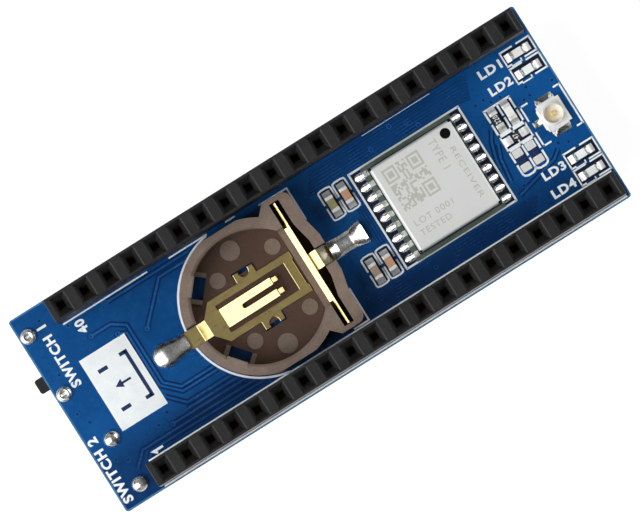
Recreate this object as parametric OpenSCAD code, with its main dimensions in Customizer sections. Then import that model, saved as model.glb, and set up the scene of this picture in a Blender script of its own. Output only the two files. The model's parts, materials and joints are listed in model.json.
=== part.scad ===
// Positioning receiver board with two stacking socket strips, an open coin-cell holder,
// a shielded receiver module, a coaxial antenna socket, four indicators and two switches.
// Sizes are in millimetres. X runs along the board to the antenna end and Z points up.
// The origin is the middle of the footprint, in the plane of the pin tips.

/* [Board] */
// Thickness of the board
board_t = 1.6; // [1.2:0.1:2]
// Board beyond the last contact at the antenna end
end_margin = 1.74; // [1.7:0.02:2.4]
// Board beyond the first contact at the switch end
tail_margin = 5.2; // [5.1:0.05:7]
// Board outside each row of contacts
side_margin = 1.51; // [1.4:0.02:2.5]
// Corner radius of the board
board_corner = 0.3; // [0.1:0.05:0.8]
// Room round a lead in its drilled hole
hole_clear = 0.1; // [0.06:0.01:0.2]

/* [Socket strips] */
// Contacts in each strip
ways = 20; // [20:1:24]
// Distance between neighbouring contacts
pitch = 2.54; // [2.52:0.01:2.7]
// Distance between the two strips
row_gap = 17.78; // [17.6:0.02:20.32]
// Width of a strip
strip_w = 2.4; // [2.3:0.05:2.6]
// Height of a strip
strip_h = 8.5; // [7.5:0.1:10]
// Side wall of a strip beside a contact chamber
strip_wall = 0.3; // [0.25:0.01:0.35]
// Length of a contact chamber along the strip
chamber_l = 1.5; // [1.3:0.05:1.8]
// Length of the lead-in mouth along the strip
mouth_l = 1.6; // [1.3:0.02:2.1]
// Width of the lead-in mouth across the strip
mouth_w = 1.96; // [1.6:0.02:2.1]
// Length of the throat along the strip
throat_l = 0.74; // [0.7:0.02:1]
// Width of the throat across the strip
throat_w = 0.84; // [0.7:0.02:1]
// Depth of the lead-in funnel
funnel_d = 0.65; // [0.4:0.05:0.9]
// Depth of the straight throat under the funnel
throat_d = 0.45; // [0.3:0.05:0.7]
// Washing gap between strip and board
wash_gap = 0.3; // [0.2:0.05:0.5]
// Length of the foot at each strip end
foot_l = 2.5; // [2.2:0.1:4]

/* [Contacts] */
// Width of the square tail
pin_w = 0.64; // [0.5:0.02:0.68]
// Length of the tail below the board
tail_l = 8; // [7:0.1:11]
// Width of the tail tip
tip_w = 0.36; // [0.2:0.02:0.44]
// Length of the tapered tail end
tip_l = 0.6; // [0.3:0.05:1]
// Thickness of a spring arm
arm_t = 0.2; // [0.15:0.01:0.22]
// Width of a spring arm along the strip
arm_w = 0.9; // [0.7:0.05:1.1]
// Gap between the arms where they grip
grip_gap = 0.46; // [0.36:0.02:0.56]
// Gap between the arm tips
flare_gap = 0.84; // [0.7:0.02:1]
// Room between contact and chamber wall
contact_clear = 0.08; // [0.05:0.01:0.12]
// Foot radius of a solder cone under the board
cone_r = 0.85; // [0.75:0.02:1]
// Height of a solder cone
cone_h = 1; // [0.6:0.05:1.4]
// Solder left round a tail at the tip of its cone
cone_skin = 0.03; // [0.02:0.01:0.08]
// Height of the base that joins the spring arms
fork_base_h = 1.1; // [0.8:0.05:1.5]
// Height of the straight part of a spring arm
arm_straight = 2.96; // [2:0.02:3.4]
// Distance from the throat down to the grip
grip_drop = 1.3; // [1:0.05:1.8]
// Room between the arm tips and the throat
arm_drop = 0.3; // [0.2:0.05:0.5]

/* [Coin-cell holder] */
// Diameter of the cell
cell_d = 12.5; // [11.6:0.1:12.6]
// Room round the cell
cell_clear = 0.05; // [0.02:0.01:0.1]
// Distance from the antenna edge to the middle of the cell
holder_in = 34.24; // [33.8:0.05:35]
// Wall round the cell
holder_wall = 1; // [0.9:0.05:1.1]
// Height of the holder
holder_h = 4.2; // [3.8:0.1:5]
// Thickness of the holder floor
holder_floor = 0.8; // [0.6:0.05:1]
// Wall left at the flats beside the cell
flat_wall = 0.75; // [0.5:0.05:0.8]
// Bevel on the inner rim
rim_bevel = 0.25; // [0.1:0.05:0.4]
// Width of the slot for the side contact
slot_w = 1; // [0.9:0.05:1.1]
// Distance from the rim of the cell in to that slot
slot_in = 1.02; // [0.9:0.02:1.2]
// Wall at each end of that slot
slot_wall = 0.45; // [0.3:0.05:0.6]
// Wall behind the side contact
end_wall = 1.12; // [0.9:0.02:1.3]
// Width of the ledge in front of the side contact
ledge_w = 0.6; // [0.4:0.05:0.8]
// Step from the holder floor up to the ledge
ledge_step = 0.4; // [0.2:0.05:0.6]
// Swell of the end wall behind the side contact
bulge = 0.45; // [0.2:0.05:0.6]
// Width of the flat part of the swell
bulge_flat = 3.8; // [2.2:0.05:4.2]
// Width of the swell at its roots
bulge_w = 7.8; // [7.2:0.1:9]
// Distance from the middle of the cell to the waist of the holder
waist_x = 3.9; // [3.6:0.05:4.2]
// Corner radius of the holder's square end
block_corner = 0.85; // [0.4:0.05:1]
// Direction of the two hooks from the antenna end
hook_angle = 140; // [132:1:144]
// Overhang of a hook
hook_reach = 0.2; // [0.15:0.05:0.5]
// Width of a hook
hook_w = 2; // [1.4:0.1:2.2]
// Height of a hook
hook_h = 0.7; // [0.5:0.05:0.9]
// Length of the floor window under a hook
window_l = 2.1; // [1.8:0.1:2.6]
// Width of the floor window under a hook
window_w = 1.2; // [0.8:0.05:1.3]
// Width of the rib at each end of that window
window_rib = 0.45; // [0.3:0.05:0.6]
// Height of those ribs
rib_h = 0.15; // [0.1:0.01:0.18]
// Radius of the large ejector marks
large_mark = 0.95; // [0.7:0.05:1]
// Radius of the small ejector marks
small_mark = 0.76; // [0.5:0.02:0.8]
// Height of the ejector marks
mark_h = 0.06; // [0.03:0.01:0.1]
// Distance from the rim of the cell in to the large marks
mark_in = 1.25; // [1.1:0.05:1.4]
// Distance of the small marks from the middle line
mark_y = 3.28; // [3.1:0.02:3.5]
// Distance of the small marks from the middle, on the neck side
mark_near = 2.46; // [2.3:0.02:2.8]
// Distance of the small marks from the middle, on the leaf side
mark_far = 3.53; // [3.3:0.02:3.6]

/* [Cell contacts] */
// Sheet thickness of the cell contacts
sheet_t = 0.2; // [0.15:0.01:0.25]
// Width of the floor contact
plate_w = 4.3; // [4:0.05:4.4]
// Width of the window in the floor contact
plate_window_w = 2.8; // [2.6:0.05:3]
// Width of the floor contact's neck and tab
neck_w = 1.8; // [1.5:0.05:2]
// Distance from the rim of the cell in to the bend of the neck
neck_in = 0.9; // [0.8:0.05:1]
// Length of the ramp from the holder floor down to the board
ramp_l = 0.85; // [0.6:0.05:1]
// Distance from the rim of the cell in to the shoulders
shoulder_in = 2; // [1.8:0.05:2.2]
// Room between the floor contact and the ledge
plate_clear = 0.1; // [0.05:0.01:0.2]
// Width of the bar that closes the window
plate_bar = 1.03; // [0.8:0.01:1.2]
// Depth of the dent in the end of the floor contact
dent_d = 0.15; // [0.1:0.01:0.2]
// Width of that dent
dent_w = 2.8; // [2.4:0.05:3.2]
// Room beside a contact in its wall notch
notch_clear = 0.1; // [0.06:0.01:0.15]
// Width of the spring tongue
tongue_w = 1.95; // [1.7:0.05:2.2]
// Distance from the rim of the cell in to the root of the tongue
root_in = 2.4; // [2.3:0.05:2.6]
// Length of the spring tongue
tongue_l = 5.7; // [5.2:0.05:6]
// Rise of the spring tongue
tongue_rise = 1.1; // [0.8:0.05:1.3]
// Length of the slot between the tongue fingers
finger_l = 3.3; // [2.8:0.1:3.6]
// Length of a curled finger tip
tongue_curl = 0.55; // [0.4:0.05:0.65]
// Drop of a curled finger tip
curl_drop = 0.3; // [0.2:0.02:0.4]
// Set-in of a finger tip from the side of the tongue
tip_trim = 0.12; // [0.08:0.01:0.15]
// Width of the slot between the tongue fingers
finger_slot = 0.45; // [0.3:0.05:0.6]
// Width of a curled finger tip
finger_w = 0.5; // [0.3:0.05:0.55]
// Width of a retaining prong
prong_w = 0.55; // [0.4:0.05:0.7]
// Width across both prongs of a side tab
prong_span = 2.1; // [1.9:0.05:2.3]
// Depth of a prong in the holder floor
prong_d = 0.5; // [0.3:0.05:0.55]
// Reach of the side tabs beyond the floor contact
prong_out = 0.85; // [0.8:0.05:0.95]
// Metal between the floor contact's edge and the prong slot
prong_web = 0.15; // [0.1:0.01:0.2]
// Length of the floor contact's tab beyond the holder
floor_tab = 3.6; // [3:0.1:3.8]
// Width of the side contact's tab
side_tab_w = 1.75; // [1.5:0.05:1.9]
// Length of the side contact's tab beyond the holder
side_tab = 3.5; // [3:0.1:3.6]
// Lean of the side leaf towards the cell
leaf_lean = 0.35; // [0.3:0.05:0.5]
// Distance from the back of the slot to the side contact
leaf_back = 0.53; // [0.34:0.01:0.6]
// Depth of the side contact below the rim
leaf_drop = 0.35; // [0.25:0.05:0.5]
// Slope of the leaf's lip and of the strip's top edge
lip_turn = 24; // [18:1:30]
// Run of the leaf back from its lip towards the slot
leaf_return = 0.15; // [0.05:0.05:0.25]
// Room beside the leaning leaf
leaf_clear = 0.25; // [0.15:0.05:0.4]
// Room under the leaning leaf
leaf_lift = 0.3; // [0.2:0.05:0.5]
// Distance from the end wall in to the fold of the side contact's tab
strap_in = 0.7; // [0.6:0.02:0.8]
// Rise of that tab from the leaf to its fold
fold_rise = 0.4; // [0.2:0.05:0.5]
// Run of that tab on its way down to the board
strap_run = 0.95; // [0.8:0.05:1.1]
// Foot radius of the round solder joint
joint_r = 1.25; // [1.1:0.05:1.4]
// Top radius of the round solder joint
joint_top_r = 0.8; // [0.6:0.05:0.9]
// Height of the round solder joint
joint_h = 0.55; // [0.4:0.05:0.8]
// Foot radius of the round joint at the holder end
joint_neck_r = 0.95; // [0.9:0.01:1.05]
// Top radius of the round joint at the holder end
joint_neck_top_r = 0.7; // [0.5:0.05:0.8]
// Height of the round joint at the holder end
joint_neck_h = 0.35; // [0.3:0.05:0.5]
// Distance from the holder to the holder end of the round joint
joint_start = 0.9; // [0.9:0.05:1.2]
// Distance from the end of a tab to the end of its joint
joint_over = 0.5; // [0.4:0.05:0.6]
// Width of the flared joint at the holder end
flare_root_w = 1.9; // [1.8:0.05:2]
// Width of the flared joint at its waist
flare_waist_w = 1.44; // [1.3:0.02:1.6]
// Width of the flared joint at its far end
flare_end_w = 2.4; // [2.2:0.05:2.6]
// Distance from the end wall to the waist of the flared joint
flare_waist = 1.75; // [1.5:0.05:2]
// Distance from the swell to the flared joint
flare_start = 0.2; // [0.1:0.05:0.4]
// Height of the flared joint at the holder end
flare_h = 0.75; // [0.5:0.05:0.9]
// Height of the flared joint at its waist
flare_waist_h = 0.38; // [0.3:0.02:0.6]
// Height of the flared joint at its far end
flare_end_h = 0.8; // [0.25:0.05:0.9]

/* [Receiver module] */
// Length of the module board
rx_l = 9.7; // [9.4:0.05:9.9]
// Width of the module board
rx_w = 10.1; // [9.9:0.05:11]
// Thickness of the module board
rx_t = 0.8; // [0.6:0.05:1]
// Distance from the antenna edge to the middle of the module
rx_in = 15.22; // [15:0.02:15.4]
// Pads along each side
rx_pads = 9; // [7:1:9]
// Distance between pads
rx_pitch = 1.1; // [1.05:0.01:1.12]
// Radius of an edge groove
groove_r = 0.25; // [0.2:0.01:0.3]
// Reach of a pad's solder beyond the module
rx_solder_l = 0.88; // [0.6:0.02:0.95]
// Width of a pad's solder
rx_solder_w = 0.66; // [0.56:0.02:0.76]
// Module board left beside the shield on the pad sides
shield_rim = 0.45; // [0.35:0.05:0.6]
// Module board left at the ends of the shield
shield_end_rim = 0.5; // [0.4:0.05:0.7]
// Shift of the shield towards the antenna
shield_shift = 0.2; // [0:0.05:0.25]
// Height of the shield
shield_h = 1.6; // [1.4:0.05:2]
// Sheet thickness of the shield
shield_t = 0.15; // [0.1:0.01:0.2]
// Edge radius of the shield
shield_round = 0.3; // [0.2:0.05:0.4]
// Radius of the relief in each shield corner
relief_r = 0.16; // [0.1:0.02:0.2]
// Room between the shield and the parts under it
inner_clear = 0.3; // [0.2:0.05:0.4]
// Distance between the parts under the shield
inner_gap = 0.8; // [0.4:0.05:1]
// Distance between the small parts under the shield
passive_step = 0.7; // [0.65:0.01:0.8]
// Number of small parts under the shield
passives = 5; // [3:1:5]

/* [Chip parts] */
// Length of a chip part
chip_l = 1.6; // [1.5:0.02:1.7]
// Width of a chip part
chip_w = 0.8; // [0.7:0.02:0.84]
// Height of a capacitor
capacitor_h = 0.8; // [0.6:0.05:0.9]
// Height of a resistor
resistor_h = 0.45; // [0.35:0.05:0.55]
// Length of a metal end
end_l = 0.34; // [0.25:0.01:0.4]
// Body set in from its metal ends
end_step = 0.02; // [0.01:0.01:0.04]
// Length of a chip part's solder
chip_solder_l = 0.5; // [0.3:0.02:0.55]
// Share of the chip height that the solder climbs
chip_climb = 0.7; // [0.5:0.05:0.85]
// Distance from the module to the nearer capacitors
near_capacitor = 7.15; // [6.9:0.05:7.2]
// Distance from the module to the farther capacitors
far_capacitor = 8.7; // [8.6:0.05:8.9]
// Distance of the capacitors from the middle line
capacitor_y = 3.7; // [3.5:0.05:4]
// Shift of the capacitors on the -Y side
capacitor_shift = 0.08; // [0:0.01:0.15]
// Distance from the antenna edge to the outer matching parts
match_in = 5.5; // [5.45:0.01:5.6]
// Distance between the matching parts
match_step = 1.38; // [1.3:0.02:1.4]
// Distance of the upright matching parts from the middle line
match_y = 2.2; // [2.15:0.05:2.4]
// Distance of the crosswise matching part from the middle line
bridge_y = 0.05; // [0:0.01:0.1]
// Length of a spare pad
spare_l = 0.75; // [0.6:0.05:0.8]
// Width of a spare pad
spare_w = 0.95; // [0.8:0.05:1]
// Height of the tin on a spare pad
spare_h = 0.08; // [0.05:0.01:0.12]
// Distance between the two pads of a pair
spare_step = 1.5; // [1.4:0.02:1.6]
// Corner radius of a spare pad
spare_corner = 0.12; // [0.05:0.01:0.2]

/* [Indicators] */
// Distance from the antenna edge to the indicators
led_in = 1.93; // [1.9:0.02:2.1]
// Distance from a contact row to the outer indicators
led_row = 2.42; // [2.35:0.02:2.5]
// Distance between neighbouring indicators
led_step = 1.84; // [1.75:0.02:1.9]
// Thickness of an indicator base
led_base_h = 0.22; // [0.15:0.01:0.3]
// Height of an indicator lens
led_lens_h = 0.36; // [0.3:0.02:0.5]
// Length of an indicator lens
led_lens_l = 1.1; // [0.9:0.02:1.14]
// Slope of the lens at each end
led_slope = 0.1; // [0.05:0.01:0.15]

/* [Antenna socket] */
// Distance from the antenna edge to the middle of the socket
ant_in = 2.18; // [2.1:0.02:2.3]
// Offset of the socket from the middle line
ant_y = -0.12; // [-0.3:0.02:0.3]
// Width of the socket base
ant_w = 2.6; // [2.5:0.05:2.7]
// Thickness of the socket base
ant_base_h = 0.35; // [0.3:0.01:0.5]
// Corner cut of the socket base
ant_cut = 0.35; // [0.2:0.05:0.5]
// Outer diameter of the ring
ring_d = 2; // [1.9:0.02:2.1]
// Thickness of the ring wall
ring_t = 0.14; // [0.1:0.01:0.18]
// Height of the socket above the board
ant_h = 1.25; // [1.1:0.05:1.5]
// Thickness of the socket's metal flange
flange_t = 0.12; // [0.08:0.01:0.15]
// Width of the metal flange
flange_w = 2.3; // [2.2:0.05:2.45]
// Diameter of the middle pin
ant_pin_d = 0.5; // [0.4:0.02:0.6]
// Depth of the pin tip below the ring
ant_pin_drop = 0.25; // [0.1:0.05:0.35]
// Width of the ground tabs
ground_w = 1.9; // [1.6:0.05:2]
// Reach of the ground tabs beyond the base
ground_l = 0.35; // [0.25:0.05:0.45]
// Width of the signal tab
signal_w = 0.6; // [0.5:0.02:0.7]
// Reach of the signal tab beyond the base
signal_l = 0.5; // [0.3:0.05:0.6]
// Solder beyond each tab
ant_solder = 0.32; // [0.2:0.02:0.4]
// Height of the solder at each tab
ant_solder_h = 0.24; // [0.15:0.01:0.3]

/* [Slide switch] */
// Distance of the switch from the middle line
switch_y = 5.11; // [4.9:0.05:5.2]
// Distance between the shell legs
leg_gap = 6.28; // [6.2:0.02:6.4]
// Distance from the board edge to the legs
leg_in = 0.88; // [0.6:0.01:1]
// Depth of the switch body
switch_d = 3; // [2.8:0.05:3.2]
// Height of the switch body
switch_h = 1.7; // [1.5:0.05:2]
// Set-back of the body from the board edge
switch_set = 0.15; // [0.1:0.01:0.25]
// Sheet thickness of the switch shell
shell_t = 0.2; // [0.15:0.01:0.25]
// Length of the side walls of the switch shell
shell_wall_l = 2; // [1.6:0.05:2.4]
// Width of a shell leg
leg_w = 0.6; // [0.5:0.02:0.66]
// Height of a leg tip above the board
leg_out = 0.3; // [0.2:0.02:0.4]
// Width of the lever
lever_w = 1.44; // [1.2:0.02:1.5]
// Corner radius of the lever
lever_corner = 0.25; // [0.1:0.05:0.5]
// Reach of the lever beyond the board edge
lever_out = 0.95; // [0.7:0.05:1.5]
// Travel of the lever
lever_travel = 2.6; // [2:0.05:2.6]
// Room round the slider
slider_clear = 0.08; // [0.05:0.01:0.1]
// Length of the slider along its travel
slider_l = 2.3; // [1.8:0.05:2.4]
// Depth of the slider
slider_d = 1.3; // [1.1:0.05:1.4]
// Wall in front of the slider
front_wall = 0.4; // [0.3:0.02:0.5]
// Plastic between board and slider
roof_t = 0.6; // [0.4:0.05:0.7]
// Thickness of the wiper
wiper_t = 0.1; // [0.08:0.01:0.12]
// Length of the wiper
wiper_l = 1.8; // [1.4:0.05:1.8]
// Width of the wiper
wiper_w = 0.65; // [0.5:0.05:0.8]
// Width of a terminal
terminal_w = 0.5; // [0.4:0.02:0.6]
// Length of a terminal foot
terminal_l = 0.9; // [0.6:0.05:1]
// Distance between the terminals
terminal_step = 2.1; // [1.8:0.05:2.4]
// Radius of the solder at a leg
leg_solder_r = 0.78; // [0.7:0.02:0.8]
// Height of the solder at a leg
leg_solder_h = 0.4; // [0.3:0.02:0.5]

/* [Push button] */
// Distance of the button from the middle line
button_y = 6.34; // [6.2:0.02:6.4]
// Distance from the board edge to the button leads
button_in = 2.43; // [2:0.01:2.7]
// Distance between the leads
lead_gap = 4.92; // [4.8:0.02:5]
// Length of the button body
button_l = 6; // [5.8:0.05:6.1]
// Width of the button body
button_w = 3.2; // [2.9:0.05:3.6]
// Height of the button body
button_h = 2.4; // [2.2:0.05:2.8]
// Thickness of the cover plate
cover_t = 0.2; // [0.15:0.01:0.3]
// Corner radius of the cover plate
cover_corner = 0.3; // [0.2:0.05:0.6]
// Diameter of the plunger
plunger_d = 1.6; // [1.4:0.05:1.8]
// Flange of the plunger under the cover
plunger_rim = 0.4; // [0.3:0.02:0.5]
// Thickness of the plunger flange
plunger_rim_t = 0.4; // [0.3:0.02:0.45]
// Height of the plunger above the cover
plunger_out = 1.5; // [1:0.05:2]
// Travel of the plunger
plunger_travel = 0.25; // [0.2:0.01:0.3]
// Room round the plunger
plunger_clear = 0.06; // [0.04:0.01:0.08]
// Rise of the snap dome
dome_rise = 0.3; // [0.2:0.02:0.35]
// Sheet thickness of the snap dome
dome_t = 0.08; // [0.06:0.01:0.1]
// Width of a button lead
lead_w = 0.6; // [0.5:0.02:0.7]
// Thickness of a button lead
lead_t = 0.25; // [0.2:0.01:0.3]
// Depth of a lead inside the body
lead_in = 0.8; // [0.5:0.05:0.9]
// Height of a lead tip above the board
lead_out = 0.35; // [0.2:0.05:0.45]
// Radius of the solder dome at a lead
lead_solder_r = 0.82; // [0.74:0.02:0.88]
// Height of the solder dome at a lead
lead_solder_h = 0.72; // [0.6:0.02:0.9]

/* [Underside parts] */
// Distance from the antenna edge to the series resistors
series_in = 6; // [5.6:0.1:7]

/* [Hidden] */
$fn = 48;
// Extra length that takes a cut clear of a face
cut = 0.5;
// Depth to which joined shapes run into each other
bond = 0.1;

// Board
row_l = (ways - 1) * pitch;
board_l = row_l + end_margin + tail_margin;
board_w = row_gap + 2 * side_margin;
board_top = tail_l + board_t;
mid_x = lever_out / 2;
edge_x = board_l / 2;
first_x = -edge_x + tail_margin;
pin_hole_d = pin_w * sqrt(2) + hole_clear;
leg_hole_d = sqrt(pow(leg_w, 2) + pow(shell_t, 2)) + hole_clear;
lead_hole_d = sqrt(pow(lead_w, 2) + pow(lead_t, 2)) + hole_clear;

// Strips and contacts
strip_l = ways * pitch;
chamber_w = strip_w - 2 * strip_wall;
chamber_h = strip_h - funnel_d - throat_d;
fork_half = chamber_w / 2 - contact_clear;
grip_z = chamber_h - grip_drop;
fork_top = chamber_h - arm_drop;
cone_tip_r = pin_w * sqrt(2) / 2 + cone_skin;

// Coin-cell holder
holder_x = edge_x - holder_in;
pocket_r = cell_d / 2 + cell_clear;
holder_r = pocket_r + holder_wall;
flat_y = pocket_r + flat_wall;
slot_x = pocket_r - slot_in;
block_x = slot_x + slot_w + end_wall;
ledge_x = slot_x - ledge_w;
ledge_z = holder_floor + ledge_step;
gate_y = sqrt(pow(pocket_r, 2) - pow(ledge_x, 2));
slot_y = flat_y - slot_wall;
waist_y = sqrt(pow(holder_r, 2) - pow(waist_x, 2));
waist_cut = flat_y - waist_y;
bulge_y = bulge_flat / 2;
bulge_root = bulge_w / 2;
notch_y = neck_w / 2 + notch_clear;
side_notch_y = side_tab_w / 2 + notch_clear;
neck_x = pocket_r - neck_in;
prong_y = plate_w / 2 + prong_out;
prong_slot_w = sheet_t + 2 * notch_clear;

// Cell contacts
shoulder_x = pocket_r - shoulder_in;
plate_end = ledge_x - plate_clear;
root_x = pocket_r - root_in;
window_end = plate_end - plate_bar;
tongue_tip = tongue_l - root_x;
finger_root = tongue_tip - finger_l;
tip_gap = tongue_w - 2 * tip_trim - 2 * finger_w;
tongue_top = holder_floor + tongue_rise;
prong_gap = prong_span - 2 * prong_w;
ramp_turn = atan2(holder_floor, ramp_l);
ramp_shift = sheet_t * tan(ramp_turn / 2);
leaf_x = slot_x + slot_w - leaf_back;
leaf_end = slot_y - notch_clear;
leaf_top = holder_h - leaf_drop;
leaf_flat_y = gate_y - leaf_clear;
lip_x = leaf_x - sheet_t / 2 - leaf_lean;
lip_t = sheet_t / cos(lip_turn);
strap_x = block_x - strap_in;
strap_h = leaf_top - sheet_t;
strap_turn = atan2(strap_h, strap_run);
strap_shift = sheet_t * tan(strap_turn / 2);

// Receiver module
rx_x = edge_x - rx_in;
shield_x = rx_x + shield_shift;
shield_l = rx_l - 2 * shield_rim;
shield_w = rx_w - 2 * shield_end_rim;
inner_x = shield_l / 2 - shield_t - inner_clear;
inner_y = shield_w / 2 - shield_t - inner_clear;
rx_chip = [5, 5, 0.85];
rx_oscillator = [2, 1.6, 0.7];
rx_filter = [1.4, 1.1, 0.5];
rx_amplifier = [1.1, 0.75, 0.45];
rx_passive = [0.6, 0.3, 0.3];

// Chip parts
body_l = chip_l - 2 * end_l;
capacitor_spots = [
    [rx_x - far_capacitor, capacitor_y],
    [rx_x - near_capacitor, capacitor_y],
    [rx_x - far_capacitor + capacitor_shift, -capacitor_y],
    [rx_x - near_capacitor + capacitor_shift, -capacitor_y]
];
match_x = edge_x - match_in;
resistor_1_spot = [match_x - match_step, match_y];
inductor_1_spot = [match_x, match_y];
resistor_2_spot = [match_x - match_step / 2, -bridge_y];
spare_spots = [
    [match_x - match_step, -match_y + spare_step / 2],
    [match_x - match_step, -match_y - spare_step / 2],
    [match_x, -match_y + spare_step / 2],
    [match_x, -match_y - spare_step / 2]
];
led_x = edge_x - led_in;
led_ys = [
    row_gap / 2 - led_row,
    row_gap / 2 - led_row - led_step,
    -row_gap / 2 + led_row + led_step,
    -row_gap / 2 + led_row
];
series_x = edge_x - series_in;

// Antenna socket
ant_x = edge_x - ant_in;
flange_top = ant_base_h + flange_t;

// Slide switch
leg_x = -edge_x + leg_in;
switch_front = -edge_x + switch_set;
base_l = leg_gap - shell_t;
slider_front = switch_front + front_wall + slider_clear;
slider_top = roof_t + wiper_t + slider_clear;
slider_end = switch_h - slider_clear;
lever_rest = switch_y - lever_travel / 2;
lever_l = slider_front + lever_corner + edge_x + lever_out;
channel_l = slider_l + lever_travel + 2 * slider_clear;
lever_slot_l = lever_w + lever_travel + 2 * slider_clear;

// Push button
button_x = -edge_x + button_in;
plunger_r = plunger_d / 2;
well_r = plunger_r + plunger_rim + plunger_clear;
plunger_top = button_h - plunger_clear;
plunger_bottom = plunger_top - plunger_rim_t;
well_z = plunger_bottom - dome_rise - dome_t;
dome_r = well_r - plunger_clear;

// X of a contact by number, from the switch end
function way_x(i) = first_x + i * pitch;

// Points on an arc about c
function arc(c, r, from, to, steps = 8) =
    [for (i = [0 : steps]) let (a = from + (to - from) * i / steps) c + r * [cos(a), sin(a)]];

// Points that sweep in from a wide foot to a narrow tip
function sweep(foot, tip, h, steps = 6) =
    [for (i = [0 : steps]) [tip + (foot - tip) * pow(1 - i / steps, 2), h * i / steps]];

// Upper face of the board
module on_board() {
    translate([mid_x, 0, board_top]) children();
}

// Underside of the board, with z running down
module under_board() {
    translate([mid_x, 0, tail_l]) mirror([0, 0, 1]) children();
}

// One row of contact positions, side 1 or -1
module at_ways(side) {
    for (i = [0 : ways - 1]) {
        translate([way_x(i), side * row_gap / 2, 0]) children();
    }
}

module at_legs() {
    for (side = [-1, 1]) {
        translate([leg_x, switch_y + side * leg_gap / 2, 0]) children();
    }
}

module at_leads() {
    for (side = [-1, 1]) {
        translate([button_x, -button_y + side * lead_gap / 2, 0]) children();
    }
}

module drill(d) {
    translate([0, 0, -board_t - cut]) cylinder(d = d, h = board_t + 2 * cut);
}

// Flat plate with rounded corners, on z = 0
module rounded_plate(l, w, h, r) {
    linear_extrude(height = h) {
        square([l - 2 * r, w], center = true);
        square([l, w - 2 * r], center = true);
        for (x = [-1, 1]) {
            for (y = [-1, 1]) {
                translate([x * (l / 2 - r), y * (w / 2 - r)]) circle(r = r);
            }
        }
    }
}

// Block that stands on z = 0, centred in plan
module block(size) {
    translate([-size.x / 2, -size.y / 2, 0]) cube(size);
}

// Profile drawn in x and z, given a width along y
module strap(w, points) {
    rotate([90, 0, 0]) linear_extrude(height = w, center = true) polygon(points);
}

// Profile drawn in y and z, given a width along x
module cross_strap(w, points) {
    rotate([90, 0, 90]) linear_extrude(height = w, center = true) polygon(points);
}

module circuit_board() {
    color("royalblue") on_board() difference() {
        translate([0, 0, -board_t]) rounded_plate(board_l, board_w, board_t, board_corner);
        at_ways(1) drill(pin_hole_d);
        at_ways(-1) drill(pin_hole_d);
        at_legs() drill(leg_hole_d);
        at_leads() drill(lead_hole_d);
    }
}

// Outline of a lead-in funnel along one axis
function funnel_side(throat, mouth) = [
    [-throat / 2, 0], [throat / 2, 0], [mouth / 2, funnel_d], [mouth / 2, funnel_d + cut],
    [-mouth / 2, funnel_d + cut], [-mouth / 2, funnel_d]
];

// Everything cut out of a strip for one contact
module socket_hollow() {
    translate([0, 0, -cut]) block([chamber_l, chamber_w, chamber_h + cut]);
    block([throat_l, throat_w, strip_h]);
    translate([0, 0, strip_h - funnel_d]) intersection() {
        strap(strip_w, funnel_side(throat_l, mouth_l));
        cross_strap(pitch, funnel_side(throat_w, mouth_w));
    }
}

module socket_strip(side) {
    color("#222222") on_board() difference() {
        translate([first_x + row_l / 2, side * row_gap / 2, 0]) difference() {
            block([strip_l, strip_w, strip_h]);
            translate([0, 0, -cut]) block([strip_l - 2 * foot_l, strip_w + cut, wash_gap + cut]);
        }
        at_ways(side) socket_hollow();
    }
}

module socket_strip_1() {
    socket_strip(-1);
}

module socket_strip_2() {
    socket_strip(1);
}

// Square tail with a tapered end
module tail() {
    side = [
        [-tip_w / 2, -board_top], [tip_w / 2, -board_top], [pin_w / 2, tip_l - board_top],
        [pin_w / 2, wash_gap + cut], [-pin_w / 2, wash_gap + cut], [-pin_w / 2, tip_l - board_top]
    ];
    intersection() {
        strap(pin_w, side);
        cross_strap(pin_w, side);
    }
}

// Spring arm on the +Y side
function arm_points() = [
    [fork_half, wash_gap], [fork_half, arm_straight], [grip_gap / 2 + arm_t, grip_z],
    [flare_gap / 2 + arm_t / 2, fork_top], [flare_gap / 2 - arm_t / 2, fork_top],
    [grip_gap / 2, grip_z], [fork_half - arm_t, arm_straight], [fork_half - arm_t, wash_gap]
];

module contact() {
    tail();
    translate([0, 0, wash_gap]) block([arm_w, 2 * fork_half, fork_base_h]);
    cross_strap(arm_w, arm_points());
    mirror([0, 1, 0]) cross_strap(arm_w, arm_points());
}

module socket_contacts_1() {
    color("gold") on_board() at_ways(-1) contact();
}

module socket_contacts_2() {
    color("gold") on_board() at_ways(1) contact();
}

module pin_cone() {
    difference() {
        rotate_extrude() polygon(concat([[0, 0]], sweep(cone_r, cone_tip_r, cone_h), [[0, cone_h]]));
        translate([0, 0, -cut]) block([pin_w, pin_w, cone_h + 2 * cut]);
    }
}

module pin_solder_1() {
    color("silver") under_board() at_ways(-1) pin_cone();
}

module pin_solder_2() {
    color("silver") under_board() at_ways(1) pin_cone();
}

// Plan of the holder about the middle of the cell
module holder_plan() {
    intersection() {
        circle(r = holder_r, $fn = 96);
        square([4 * holder_r, 2 * flat_y], center = true);
    }
    polygon(concat(
        [[0, -waist_y], [waist_x, -waist_y], [waist_x + waist_cut, -flat_y]],
        arc([block_x - block_corner, -flat_y + block_corner], block_corner, -90, 0),
        [[block_x, -bulge_root], [block_x + bulge, -bulge_y]],
        [[block_x + bulge, bulge_y], [block_x, bulge_root]],
        arc([block_x - block_corner, flat_y - block_corner], block_corner, 0, 90),
        [[waist_x + waist_cut, flat_y], [waist_x, waist_y], [0, waist_y]]
    ));
}

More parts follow.
